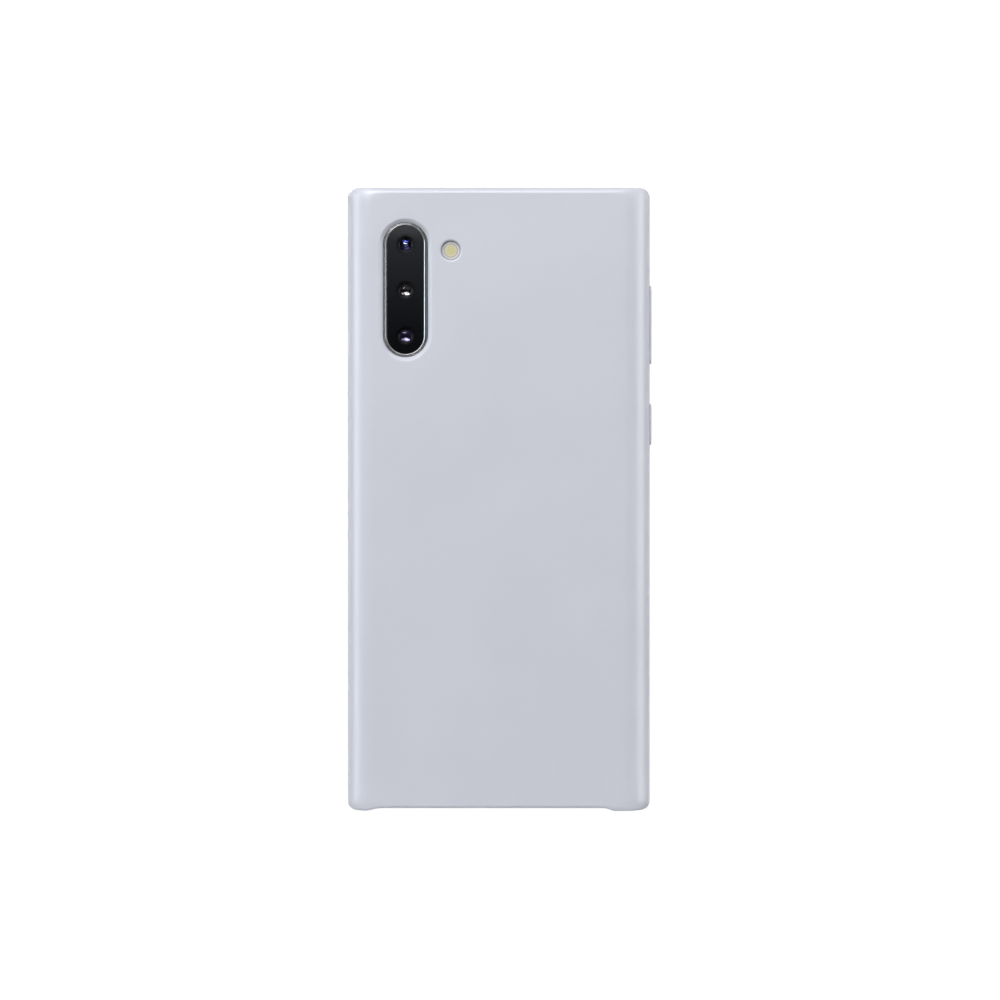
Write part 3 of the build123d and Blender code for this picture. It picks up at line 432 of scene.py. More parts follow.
@material("board_resin")
def board(t):
    """Green-black solder mask over copper tracks and vias."""
    x, _, z = t.xyz()
    flat = t.get("CombineXYZ", {0: x, 1: z})
    bricks = {"Vector": flat, "Scale": 0.9, "Mortar Size": 0.03, "Mortar Smooth": 0.3}
    tracks = t.add("TexBrick", bricks)
    vias = t.add("TexVoronoi", {"Vector": t.coords(), "Scale": 0.9})
    copper = t.ramp(tracks.outputs["Fac"], 0.2, 0.8)
    dots = t.ramp(vias.outputs["Distance"], 0.10, 0.14, 1.0, 0.0)
    mask = t.mix(t.noise(0.3), (0.006, 0.030, 0.022), (0.010, 0.042, 0.030))
    colour = t.mix(t.times(copper, 0.5), mask, (0.05, 0.11, 0.06))
    t.surface(
        Base_Color=t.mix(dots, colour, (0.55, 0.38, 0.16)),
        Roughness=t.linear(t.noise(2.0), 0.2, 0.8, 0.32, 0.45),
        Normal=t.bump(t.plus(copper, dots), 0.3, 0.03))


@material("mesh")
def mesh(t):
    """Woven dust screen."""
    warp, weft = (t.math("SINE", t.times(axis, 40.0)) for axis in t.xyz()[:2])
    weave = t.times(warp, weft)
    t.surface(
        Base_Color=t.mix(t.ramp(weave, -0.3, 0.6), (0.012, 0.012, 0.013), (0.10, 0.10, 0.105)),
        Metallic=0.6, Roughness=0.5, Normal=t.bump(weave, 0.7, 0.04))


PLAIN = {
    "antenna_plastic": dict(color=(0.50, 0.515, 0.56), rough=0.42, fine=12.0, grain=0.01, vary=0.04),
    "gasket": dict(color=(0.02, 0.02, 0.021), rough=0.7),
    "display": dict(color=(0.006, 0.006, 0.007), rough=0.2, fine=20.0, grain=0.005),
    "sensor_chip": dict(color=(0.02, 0.018, 0.035), rough=0.15, fine=15.0, grain=0.01, Coat_Weight=0.6),
    "phosphor": dict(color=(0.72, 0.62, 0.16), rough=0.8, fine=10.0, grain=0.03),
    "module_black": dict(color=(0.018, 0.018, 0.019), rough=0.45, fine=7.0),
    "stamped_steel": dict(color=(0.56, 0.56, 0.57), rough=0.30, metallic=1.0, grain=0.01, streak=(1, 1, 0.1)),
    "chip_resin": dict(color=(0.022, 0.022, 0.024), rough=0.5, fine=14.0, grain=0.02),
    "flex_film": dict(color=(0.30, 0.13, 0.035), rough=0.3, fine=2.0, streak=(4, 4, 0.05)),
    "pouch_foil": dict(color=(0.045, 0.046, 0.05), rough=0.38, fine=0.8, grain=0.12, Coat_Weight=0.3),
    "copper": dict(color=(0.62, 0.29, 0.16), rough=0.28, metallic=1.0, fine=10.0, grain=0.01),
    "ferrite": dict(color=(0.035, 0.035, 0.037), rough=0.6, fine=9.0, grain=0.03),
    "bracket_plastic": dict(color=(0.020, 0.020, 0.022), rough=0.5, fine=9.0, grain=0.02),
    "membrane": dict(color=(0.03, 0.03, 0.032), rough=0.4, fine=3.0, grain=0.03),
    "tungsten": dict(color=(0.30, 0.30, 0.31), rough=0.35, metallic=1.0, streak=(1, 0.1, 1)),
    "tongue_plastic": dict(color=(0.012, 0.012, 0.013), rough=0.4, fine=12.0),
    "pen_plastic": dict(
        color=(0.56, 0.575, 0.62), rough=0.30, fine=16.0, grain=0.01, vary=0.03, Coat_Weight=0.35),
    "nib_plastic": dict(color=(0.05, 0.05, 0.053), rough=0.5, fine=12.0),
}
MATERIALS |= {name: basic(name, **look) for name, look in PLAIN.items()}
MATERIALS["frame_metal"] = polished_metal("frame_metal", (0.74, 0.75, 0.785))
MATERIALS["key_metal"] = polished_metal("key_metal", (0.72, 0.73, 0.765), 0.18)
MATERIALS["lens_glass"] = lens_material("lens_glass", (0.003, 0.003, 0.006), (0.03, 0.02, 0.09), 320.0)
CAD_SHARP, SHARP = 28, 32  # an edge that turns by more degrees than this stays sharp


def dress_cad_nodes():
    """Gives every CAD node its slot's material, and smooth shading with sharp edges kept."""
    slots = {s["node"]: s["material_slot"] for s in frame["record"]["subparts"]}
    for name, node in NODES.items():
        mesh = node.data
        mesh.materials.clear()
        mesh.materials.append(MATERIALS[slots[name]])
        shade(node, CAD_SHARP)


def shade(piece, angle):
    """Smooth shading, with the edges that turn by more than the angle kept sharp."""
    mesh = piece.data
    mesh.polygons.foreach_set("use_smooth", [True] * len(mesh.polygons))
    mesh.set_sharp_from_angle(angle=radians(angle))
    piece.modifiers.new("weighted", "WEIGHTED_NORMAL").keep_sharp = True


dress_cad_nodes()


# ---- mesh helpers ----------------------------------------
def add_object(name, data):
    obj = bpy.data.objects.new(name, data)
    bpy.context.scene.collection.objects.link(obj)
    return obj


def to_object(name, bm):
    """Turns a bmesh of phone millimetres into an object in the row frame."""
    bmesh.ops.recalc_face_normals(bm, faces=bm.faces)
    for v in bm.verts:
        v.co = world(*v.co)
    mesh = bpy.data.meshes.new(name)
    bm.to_mesh(mesh)
    bm.free()
    return add_object(name, mesh)


def finish_piece(name, bm, slot, body, node, angle=SHARP, materials=None):
    """Turns a bmesh of phone millimetres into a piece on a body, standing for the given CAD node."""
    bmesh.ops.remove_doubles(bm, verts=bm.verts, dist=1e-5)
    obj = to_object(name, bm)
    for material in materials or [MATERIALS[slot]]:
        obj.data.materials.append(material)
    shade(obj, angle)
    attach(obj, body)
    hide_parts(node)
    return obj


def add_loops(bm, loops, material_index=0):
    """Closed loops of equal length joined by quads; returns the rings of vertices."""
    rings = [[bm.verts.new(p) for p in loop] for loop in loops]
    for a, b in zip(rings, rings[1:]):
        n = len(a)
        for i in range(n):
            j = (i + 1) % n
            face = bm.faces.new((a[i], a[j], b[j], b[i]))
            face.material_index = material_index
    return rings


def ring_edges(bm, ring):
    out = []
    for i, v in enumerate(ring):
        w = ring[(i + 1) % len(ring)]
        out.append(bm.edges.get((v, w)) or bm.edges.new((v, w)))
    return out


def fill(bm, *rings, material_index=0):
    """Fills the flat area bounded by the rings, the first outside and the rest holes."""
    edges = [e for ring in rings for e in ring_edges(bm, ring)]
    made = bmesh.ops.triangle_fill(bm, use_beauty=True, use_dissolve=False, edges=edges)
    for item in made["geom"]:
        if isinstance(item, bmesh.types.BMFace):
            item.material_index = material_index


def cap(bm, ring, material_index=0):
    face = bm.faces.new(ring)
    face.material_index = material_index


def add_solid(bm, loops):
    """Closed loops joined by quads, with both ends closed flat."""
    rings = add_loops(bm, loops)
    cap(bm, rings[0])
    cap(bm, rings[-1])


def pill(radius, half, y, centre=ISLAND, arc=40, side=14):
    """Points of an upright round-ended bar, at a depth."""
    points = []
    reach = half - radius
    x, z = centre
    for start, up in ((0, 1), (pi, -1)):
        for i in range(arc + 1):
            a = start + pi * i / arc
            points.append((x + radius * cos(a), y, z + up * reach + radius * sin(a)))
        for i in range(1, side):
            points.append((x - up * radius, y, z + up * reach * (1 - 2 * i / side)))
    return points


def circle(radius, y, centre, count=64):
    turns = [2 * pi * i / count for i in range(count)]
    return [(centre[0] + radius * cos(a), y, centre[1] + radius * sin(a)) for a in turns]


def smooth(t):
    t = min(1.0, max(0.0, t))
    return t * t * (3 - 2 * t)


def lerp(a, b, t):
    return a + (b - a) * t


# ---- silicone cover ----------------------------------------
SIDE_CURVE, END_CURVE = 6.5, 1.35  # how far in from the silhouette the back's rounded margin reaches
SIDE_WAIST = -1.15  # where the side's straight wall turns into the curve
CORNER, INNER_CORNER = 2.4, 3.25  # corner radii, outside and inside
FIT = 0.05  # space between the phone and its cover
OUTER = (COVER_W, COVER_TOP, COVER_FOOT)
INNER = (PHONE_W + FIT, PHONE_H + FIT, -PHONE_H - FIT)
INNER_FLOOR, INNER_FACE = -PHONE_T - 0.32, -PHONE_T - FIT  # under the lining, and level with it
INNER_SIDE_CURVE, INNER_END_CURVE = 5.95, 1.25
SILL_Y, PORT_LEFT, PORT_RIGHT = -3.6, -31.5, 27.7  # the bottom opening
RIM, FLASH_RIM = 0.95, 0.42  # widths of the bevels round the island's and the flash's openings
CHAMFER = 0.82  # 0 rounds the openings' rims fully, 1 cuts them straight
LIP_IN, LIP_OUT = 0.28, 0.5  # radii of the lip's two roundings
REACH, INNER_REACH = COVER_W - CORNER, PHONE_W + FIT - INNER_CORNER  # where the ends' straight parts stop
FOOT_RISE, FOOT_ROUND = 0.72, 0.30  # how much higher the bottom edge is between the feet, and outside them
LEFT_FOOT, RIGHT_FOOT = -33.4, 29.2  # where the edge starts to rise, going inwards


def foot_rise(x):
    """Height of the bottom edge above the lowest point of the feet."""
    inwards = (x - LEFT_FOOT) / 4.0 if x < 0 else (RIGHT_FOOT - x) / 3.2
    return FOOT_RISE * smooth(inwards) + FOOT_ROUND * smooth((abs(x) - 31.5) / 6.0)


def lip_height(z):
    """Low along the sides, high towards both ends."""
    return lerp(LIP_LOW, LIP_HIGH, smooth((abs(z) - 58.0) / 12.0))


def port_path():
    """The edge of the bottom opening as (x, y, normal x, normal y), from the left foot to the right."""
    convex, concave = 0.9, 1.3
    out = []

    def corner(cx, cy, radius, start, end, sign):
        for i in range(7):
            a = radians(lerp(start, end, i / 6))
            nx, ny = cos(a), sin(a)
            out.append((cx + radius * nx, cy + radius * ny, sign * nx, sign * ny))

    def line(x0, y0, x1, y1, nx, ny, count):
        for i in range(1, count):
            out.append((lerp(x0, x1, i / count), lerp(y0, y1, i / count), nx, ny))

    top, low = LIP_HIGH, SILL_Y
    corner(PORT_LEFT - convex, top - convex, convex, 90, 0, 1)
    line(PORT_LEFT, top - convex, PORT_LEFT, low + concave, 1, 0, 6)
    corner(PORT_LEFT + concave, low + concave, concave, 180, 270, -1)
    line(PORT_LEFT + concave, low, PORT_RIGHT - concave, low, 0, 1, 40)
    corner(PORT_RIGHT - concave, low + concave, concave, 270, 360, -1)
    line(PORT_RIGHT, low + concave, PORT_RIGHT, top - convex, -1, 0, 6)
    corner(PORT_RIGHT + convex, top - convex, convex, 180, 90, 1)
    return out


def around(side, top, bottom, steps):
    """Columns of a round-cornered rectangle, anticlockwise seen from the back, given places on each part."""
    turn = [i / steps for i in range(1, steps)]

    def corner(sx, sz, shares):
        return [{"kind": "corner", "sx": sx, "sz": sz, "a": a} for a in shares]

    out = [{"kind": "side", "sign": 1, "u": u} for u in side] + corner(1, 1, turn)
    out += [{"kind": "top", "v": -v} for v in top] + corner(-1, 1, [1 - a for a in turn])
    out += [{"kind": "side", "sign": -1, "u": -u} for u in side] + corner(-1, -1, turn)
    return out + bottom + corner(1, -1, [1 - a for a in turn])


def bottom_columns():
    """Columns across the bottom end, following the edge of its opening."""
    path = port_path()
    out = []

    def column(base, inner_base, lip, inner):
        # base places the outer wall and inner_base the inner one; lip and inner are the edge of each
        places = {"v": base / REACH, "inner_v": inner_base / INNER_REACH}
        out.append({"kind": "bottom", "lip": lip, "inner": inner} | places)

    def flat(start, end, inner_from, inner_to):
        for share in np.linspace(0, 1, 9):
            x, inner = lerp(start, end, share), lerp(inner_from, inner_to, share)
            column(x, inner, (x, LIP_HIGH, 0, 1), inner)

    flat(-REACH, path[0][0] - 0.4, -INNER_REACH, path[0][0] - 0.02)
    lengths = [0.0]
    for a, b in zip(path, path[1:]):
        lengths.append(lengths[-1] + hypot(b[0] - a[0], b[1] - a[1]))
    # the columns fan out a little where the opening's edge runs front to back
    fan, inner_fan = 9.4, 6.36
    for (x, y, nx, ny), s in zip(path, lengths):
        along, edge, side = (s, PORT_LEFT, -1) if x < 0 else (lengths[-1] - s, PORT_RIGHT, 1)
        base = edge + side * lerp(1.2, -1.8, along / fan) if along < fan else x
        inner_base = edge + side * lerp(0.88, 0.08, along / inner_fan) if along < inner_fan else x
        column(base, inner_base, (x, y, nx, ny), x)
    flat(path[-1][0] + 0.4, REACH, path[-1][0] + 0.3, INNER_REACH)
    return out


def cover_columns():
    """Closer together towards the corners than in the middle of each part."""
    even = np.linspace(-1, 1, 81)
    side = [float(0.35 * sin(pi / 2 * t) + 0.65 * t) for t in even]
    top = [lerp(-1, 1, 0.6 * t + 0.4 * (0.5 - 0.5 * cos(pi * t))) for t in np.linspace(0, 1, 57)]
    return around(side, top, bottom_columns(), 16)


COLUMNS = cover_columns()


def outline(c, half_w, top, bottom, dx, dz, radius, foot):
    """Where a column stands on the rounded rectangle drawn in by dx at the sides and dz at the ends."""
    w, mid, half_h = half_w - dx, (top + bottom) / 2, (top - bottom) / 2 - dz
    if c["kind"] == "side":
        return c["sign"] * w, mid + c["u"] * (half_h - radius)
    if c["kind"] == "corner":
        a = c["a"] * pi / 2
        x = c["sx"] * (w - radius + radius * cos(a))
        z = mid + c["sz"] * (half_h - radius + radius * sin(a))
    else:
        x = (c["v"] if foot else c.get("inner_v", c["v"])) * (w - radius)
        z = mid + half_h if c["kind"] == "top" else mid - half_h
    if foot and z < 0:
        share = sin(c["a"] * pi / 2) ** 2 if c["kind"] == "corner" else 1.0
        z += foot_rise(x) * share * foot
    return x, z


def end_weight(c, half_w, dx, radius):
    """0 along the long sides, 1 along the ends, turning smoothly round the corner and a little beyond."""
    if c["kind"] == "side":
        return 0.0
    beyond, arc = 3.2, radius * pi / 2
    if c["kind"] == "corner":
        return smooth(c["a"] * arc / (arc + beyond))
    run = (half_w - dx - radius) * (1 - abs(c["v"]))
    return smooth((arc + run) / (arc + beyond))


def lip_point(c):
    """A column's place on the lip and the direction it faces there, as (x, y, normal x, normal y)."""
    if c["kind"] == "bottom":
        return c["lip"]
    x, z = outline(c, *OUTER, 0, 0, CORNER, 1)
    return x, lip_height(z) if c["kind"] == "side" else LIP_HIGH, 0, 1


def inner_start(c):
    """Depth from which the inner wall is straight."""
    start = lerp(-0.9, -2.75, end_weight(c, INNER[0], 0, INNER_CORNER))
    return min(start, lip_point(c)[1] - 0.36) if c["kind"] == "bottom" else start


def inner_foot(c, row):
    """The step from the floor under the lining to the rounded margin."""
    dx, dz, radius, y = row
    x, z = outline(c, *INNER, dx, dz, radius, 0)
    return x, y, z


def inner_margin(c, phi):
    bow = 1 - cos(phi)
    x, z = outline(c, *INNER, INNER_SIDE_CURVE * bow, INNER_END_CURVE * bow, INNER_CORNER - 1.1 * bow, 0)
    return x, lerp(inner_start(c), INNER_FACE, sin(phi)), z


def inner_wall(c, share):
    _, lip_y, nx, ny = lip_point(c)
    x, z = outline(c, *INNER, 0, 0, INNER_CORNER, 0)
    if c["kind"] == "bottom":
        x = lerp(x, c["inner"] - LIP_IN * nx, share)
    return x, lerp(inner_start(c), lip_y - LIP_IN * ny, share), z


def over_lip(c, rounding):
    """Across the lip: share is how far a point is from the inner wall to the outer one."""
    radius, degrees = rounding
    a = radians(degrees)
    lip_x, lip_y, nx, ny = lip_point(c)
    in_x, in_z = outline(c, *INNER, 0, 0, INNER_CORNER, 0)
    out_x, out_z = outline(c, *OUTER, 0, 0, CORNER, 1)
    if c["kind"] == "bottom":
        in_x, out_x = c["inner"], lip_x
        out_z = COVER_FOOT + foot_rise(lip_x)
    across = radius * (1 - cos(a)) / hypot(out_x - in_x, out_z - in_z)
    share = across if radius == LIP_IN else 1 - across
    depth = radius * (1 - sin(a))
    x = lerp(in_x, out_x, share) - (depth * nx if c["kind"] == "bottom" else 0)
    return x, lip_y - depth * ny, lerp(in_z, out_z, share)


def outer_wall(c, share):
    lip_x, lip_y, nx, ny = lip_point(c)
    x, z = outline(c, *OUTER, 0, 0, CORNER, 1)
    start = lerp(SIDE_WAIST, COVER_BACK + END_CURVE, end_weight(c, COVER_W, 0, CORNER))
    if c["kind"] == "bottom":
        x = lerp(lip_x - LIP_OUT * nx, x, share)
        z = COVER_FOOT + foot_rise(x)
    return x, lerp(lip_y - LIP_OUT * ny, start, share), z


def back_margin(c, phi):
    """Rounded margin of the back."""
    bow = 1 - cos(phi)
    dx, radius = SIDE_CURVE * bow, CORNER + bow
    x, z = outline(c, *OUTER, dx, END_CURVE * bow, radius, 1 - 0.6 * bow)
    side = lerp(SIDE_WAIST, COVER_BACK, sin(phi))
    end = COVER_BACK + END_CURVE * (1 - sin(phi))
    return x, lerp(side, end, end_weight(c, COVER_W, dx, radius)), z


def back_flat(c, more):
    x, z = outline(c, *OUTER, SIDE_CURVE + more[0], END_CURVE + more[1], CORNER + 1.0, 0.4)
    return x, COVER_BACK, z


def cover_loops():
    """Loops from the inside floor's edge, up the inner wall, over the lip and down to the back."""
    floor_rows = [(6.1, 1.35, 2.1, INNER_FLOOR), (6.02, 1.3, 2.1, INNER_FLOOR)]
    floor_rows += [(5.98, 1.27, 2.12, INNER_FACE - 0.05)]
    roundings = [(LIP_IN, a) for a in (30, 60, 90)] + [(LIP_OUT, a) for a in (90, 60, 30, 0)]
    stages = [
        (inner_foot, floor_rows),
        (inner_margin, np.radians(np.linspace(90, 0, 10))),
        (inner_wall, (0.3, 0.65, 1.0)),
        (over_lip, roundings),
        (outer_wall, (0.25, 0.5, 0.75)),
        (back_margin, np.radians(np.linspace(0, 90, 25))),
        (back_flat, [(0.5, 0.4)]),
    ]
    return [[place(c, step) for c in COLUMNS] for place, steps in stages for step in steps]


HOLE_R, HOLE_HALF = ISLAND_R - 0.07, ISLAND_HALF - 0.07
FLASH_HOLE = 2.35
BEVEL_DEPTH = 0.8  # the deepest a bevel goes


def hole_loops(shape, rim):
    """Rim of an opening, bevelled from the back's flat, then straight in; shape(grow, y) gives a loop."""
    depth = min(rim, BEVEL_DEPTH)
    loops = [shape(rim + 0.25, COVER_BACK)]
    for phi in np.radians(np.linspace(0, 90, 11)):
        out, deep = 1 - sin(phi), 1 - cos(phi)
        flat = smooth(phi / (pi / 2))
        out, deep = lerp(out, 1 - flat, CHAMFER), lerp(deep, flat, CHAMFER)
        loops.append(shape(rim * out, COVER_BACK + depth * deep))
    return loops + [shape(0.0, y) for y in (lerp(COVER_BACK + depth, INNER_FLOOR, 0.6), INNER_FLOOR)]


def rounded_rectangle(half_w, half_h, radius, count=8):
    """Points of a round-cornered rectangle about the origin."""
    points = []
    for sx, sy, start in ((1, 1, 0), (-1, 1, 90), (-1, -1, 180), (1, -1, 270)):
        for i in range(count + 1):
            a = radians(start + 90 * i / count)
            x, y = sx * (half_w - radius), sy * (half_h - radius)
            points.append((x + radius * cos(a), y + radius * sin(a)))
    return points


def cut_with(piece, knife):
    """Takes the knife's closed solids, a bmesh of phone millimetres, out of a piece."""
    blade = to_object("cutter", knife)
    cut = piece.modifiers.new("cut", "BOOLEAN")
    cut.object, cut.operation, cut.solver = blade, "DIFFERENCE", "EXACT"
    bpy.context.view_layer.update()
    with_cut = bpy.data.meshes.new_from_object(piece.evaluated_get(bpy.context.evaluated_depsgraph_get()))
    piece.modifiers.clear()
    piece.data = with_cut
    shade(piece, SHARP)
    bpy.data.objects.remove(blade)


PADS = {"volume_pad": local_box("volume_pad"), "power_pad": local_box("power_pad")}
PAD_GAP, PAD_WINDOW_R = 0.10, 1.15
CUT_PAST = 1.9  # how far a cutting solid stands out of what it pierces
FELT_W, FELT_H = 29.9, 74.1  # half sizes of the lining
MIC_X, MIC_Y, MIC_R = 3.0, -0.4, 0.7  # the microphone's opening in the top end


def make_cover():
    bm = bmesh.new()
    rings = add_loops(bm, cover_loops())
    island = add_loops(bm, hole_loops(lambda grow, y: pill(HOLE_R + grow, HOLE_HALF + grow, y), RIM))
    flash = add_loops(bm, hole_loops(lambda grow, y: circle(FLASH_HOLE + grow, y, FLASH_C), FLASH_RIM))
    fill(bm, rings[-1], island[0], flash[0])
    fill(bm, rings[0], island[-1], flash[-1])
    cover = finish_piece("cover_shell", bm, "silicone", "cover", "silicone_cover")
    knife = bmesh.new()
    for _, (y0, y1), (z0, z1) in PADS.values():
        loop = rounded_rectangle((y1 - y0) / 2 + PAD_GAP, (z1 - z0) / 2 + PAD_GAP, PAD_WINDOW_R)
        ends = (PHONE_W - CUT_PAST, COVER_W + CUT_PAST)
        add_solid(knife, [[(x, y, z + (z0 + z1) / 2) for y, z in loop] for x in ends])
    turns = [2 * pi * i / 24 for i in range(24)]
    loop = [(MIC_X + MIC_R * cos(a), MIC_Y + MIC_R * sin(a)) for a in turns]
    add_solid(knife, [[(x, y, z) for x, y in loop] for z in (PHONE_H - CUT_PAST, COVER_TOP + CUT_PAST)])
    cut_with(cover, knife)


def make_lining():
    """Thin felt sheet with soft edges."""
    bm = bmesh.new()
    back = INNER_FLOOR + 0.01
    steps = [(0.0, back), (0.0, INNER_FACE - 0.08), (0.06, INNER_FACE - 0.02), (0.16, INNER_FACE)]

    def sheet(inset, y):
        return [(x, y, z) for x, z in rounded_rectangle(FELT_W - inset, FELT_H - inset, 2.4 - inset, 10)]

    outer = add_loops(bm, [sheet(inset, y) for inset, y in steps])
    island = add_loops(bm, [pill(ISLAND_R + 0.75 + grow, ISLAND_HALF + 0.75 + grow, y) for grow, y in steps])
    flash = add_loops(bm, [circle(FLASH_HOLE + 0.55 + grow, y, FLASH_C) for grow, y in steps])
    fill(bm, outer[0], island[0], flash[0])
    fill(bm, outer[-1], island[-1], flash[-1])
    finish_piece("cover_felt", bm, "microfibre", "cover", "cover_lining")


def make_pad(node):
    """Softly crowned key pad."""
    (x0, x1), (y0, y1), (z0, z1) = PADS[node]
    half_y, half_z = (y1 - y0) / 2, (z1 - z0) / 2
    profile = [(0.0, x0), (0.0, lerp(x0, x1, 0.5)), (0.0, x1 - 0.30)]
    for phi in np.radians(np.linspace(15, 90, 6)):
        profile.append((0.34 * (1 - cos(phi)), x1 - 0.30 + 0.24 * sin(phi)))
    profile += [(0.62, x1 - 0.025), (0.95, x1 - 0.005)]
    bm = bmesh.new()
    loops = []
    for inset, x in profile:
        ring = rounded_rectangle(half_y - inset, half_z - inset, max(0.25, 1.1 - inset))
        loops.append([(x, y0 + half_y + y, z0 + half_z + z) for y, z in ring])
    add_solid(bm, loops)
    finish_piece(node + "_skin", bm, "silicone", node, node)


make_cover()
make_lining()
make_pad("volume_pad")
make_pad("power_pad")


# ---- the phone's own glass ----------------------------------------
FRONT_CURVE, BACK_CURVE = 4.4, 5.9  # width of the curved margin along each long side
FLAT_Y = 0.9  # where the curved margin starts, at the side
END_R = 1.2  # radius of the rounding at the two ends
GLASS_EDGE_Y, GLASS_T = 1.55, 0.6
GLASS_TRIM = 0.95  # the glass stops this far short of the frame's ends
EDGE_R = 0.14
# the earpiece's notch: half sizes, corner radius and height
NOTCH_W, NOTCH_H, NOTCH_R, NOTCH_Z = 6.5, 0.6, 0.4, 74.6
SPREAD = [sin(radians(a)) for a in np.linspace(-90, 90, 49)]
GLASS_COLUMNS = around(SPREAD, SPREAD, [{"kind": "bottom", "v": v} for v in SPREAD], 14)


def glass_height(x, z, curve, inset):
    """Distance of the phone's face, drawn in by inset, from the phone's middle plane."""
    over_x = min(1.0, max(0.0, abs(x) - (PHONE_W - curve)) / (curve - inset))
    over_z = min(1.0, max(0.0, abs(z) - (PHONE_H - END_R)) / (END_R - inset))
    side = FLAT_Y + (PHONE_T - inset - FLAT_Y) * sqrt(1 - over_x ** 2)
    end = PHONE_T - END_R + (END_R - inset) * sqrt(1 - over_z ** 2)
    return min(side, end)


def glass_sheet(bm, curve, facing):
    """A sheet of curved glass: outer face, edge, inner face; returns the two rings round its flat parts."""
    loops = []
    half_h = PHONE_H - GLASS_TRIM
    edge, edge_in = PHONE_W - side_reach(curve, 0.0), PHONE_W - side_reach(curve, GLASS_T)

    def add(inset, dx, dz, radius, drop=0.0):
        out = []
        for c in GLASS_COLUMNS:
            x, z = outline(c, PHONE_W, half_h, -half_h, dx, dz, radius, 0)
            y = max(GLASS_EDGE_Y, glass_height(x, z, curve, inset) - drop)
            out.append((x, facing * y, z))
        loops.append(out)

    for phi in np.linspace(pi / 2, acos(1 - edge / curve), 15):
        dx = curve * (1 - cos(phi))
        add(0.0, dx, dx - edge + EDGE_R, lerp(4.4, 2.4, dx / curve))
    for degrees in (60, 30, 0):
        a = radians(degrees)
        add(0.0, edge, EDGE_R * (1 - cos(a)), 4.5, EDGE_R * (1 - sin(a)))
    for share in np.linspace(0, 1, 10):
        dx = lerp(edge_in, curve, share ** 2)
        add(GLASS_T, dx, dx - edge_in, lerp(4.2, 2.4, share))
    rings = add_loops(bm, loops)
    return rings[0], rings[-1]


def side_reach(curve, inset):
    """Half width of the glass where its edge meets the metal."""
    rise = (GLASS_EDGE_Y - FLAT_Y) / (PHONE_T - inset - FLAT_Y)
    return PHONE_W - curve + (curve - inset) * sqrt(1 - rise ** 2)


def make_front_glass():
    """Display glass, curved along both long sides, with the earpiece's notch in its top edge."""
    bm = bmesh.new()
    for ring in glass_sheet(bm, FRONT_CURVE, 1):
        cap(bm, ring)
    piece = finish_piece("screen_glass", bm, "front_glass", "phone", "front_glass")
    knife = bmesh.new()
    notch = rounded_rectangle(NOTCH_W, NOTCH_H, NOTCH_R)
    ends = (PHONE_T - CUT_PAST, PHONE_T + CUT_PAST)
    add_solid(knife, [[(x, y, NOTCH_Z + z) for x, z in notch] for y in ends])
    cut_with(piece, knife)


def make_back_glass():
    """Rear glass, with openings for the camera island and the flash."""
    bm = bmesh.new()
    outer, inner = glass_sheet(bm, BACK_CURVE, -1)
    loops = [-PHONE_T, -PHONE_T + GLASS_T]
    island = add_loops(bm, [pill(ISLAND_R - 0.24, ISLAND_HALF - 0.2, y) for y in loops])
    flash = add_loops(bm, [circle(2.1, y, FLASH_C) for y in loops])
    fill(bm, outer, island[0], flash[0])
    fill(bm, inner, island[1], flash[1])
    finish_piece("rear_glass", bm, "back_glass", "phone", "back_glass")


make_front_glass()
make_back_glass()


# ---- camera island ----------------------------------------
(_x0, _x1), (_, WINDOW_BACK), _ = local_box("camera_window")
WINDOW_R = (_x1 - _x0) / 2
GLASS_TOP = RING_TOP + 0.12


def island_loop(offset, y):
    """The island's outline, drawn in by offset, a little less at its two ends than along its sides."""
    centre = (ISLAND[0], ISLAND[1] + RING_RISE * offset)
    return pill(ISLAND_R - offset, ISLAND_HALF - 0.75 * offset, y, centre)


def make_ring():
    """Polished trim: rounded outer shoulder, fine groove, and a chamfer down to the glass.

    The profile's first number is the distance in from the frame's island, the second is the depth.
    """
    profile = [
        (0.36, -3.10), (0.30, -3.10), (0.30, -3.96), (0.19, -3.96), (0.17, -4.00), (0.17, -4.56),
        (0.18, -4.62), (0.21, -4.67), (0.26, -4.715), (0.32, -4.75), (0.39, -4.77), (0.44, -4.765),
        (0.47, -4.74), (0.50, -4.68), (0.53, -4.68), (0.56, -4.76), (0.59, -4.815), (0.64, -4.86),
        (0.71, -4.895), (0.79, -4.92), (0.85, -4.93), (0.89, -4.925), (0.94, -4.895), (1.03, -4.83),
        (1.07, -4.78), (1.07, -4.14), (1.25, -4.14), (1.25, -3.10),
    ]
    bm = bmesh.new()
    loops = [island_loop(offset, y) for offset, y in profile]
    crest, foot = profile.index((0.89, -4.925)), profile.index((1.07, -4.78))
    add_loops(bm, loops[:crest + 1])
    add_loops(bm, loops[crest:foot + 1], 1)
    add_loops(bm, loops[foot:] + [loops[0]])
    materials = [MATERIALS["trim_metal"], polished_metal("trim_edge", (0.62, 0.62, 0.63), 0.22)]
    finish_piece("island_trim", bm, "trim_metal", "phone", "camera_ring", 50, materials)


def make_window():
    """Cover glass of the island, with a soft edge."""
    bm = bmesh.new()
    out = ISLAND_R - WINDOW_R
    profile = [(0.10, WINDOW_BACK), (0.0, WINDOW_BACK - 0.08), (0.0, GLASS_TOP + 0.16)]
    profile += [(0.04, GLASS_TOP + 0.07), (0.12, GLASS_TOP + 0.015), (0.24, GLASS_TOP)]
    add_solid(bm, [island_loop(out + offset, y) for offset, y in profile])
    finish_piece("island_glass", bm, "camera_glass", "phone", "camera_window")


def lathe(bm, centre, profile, material_index=0, count=64):
    """Rings about a lens's axis from (radius, y) points."""
    return add_loops(bm, [circle(r, y, centre, count) for r, y in profile], material_index)


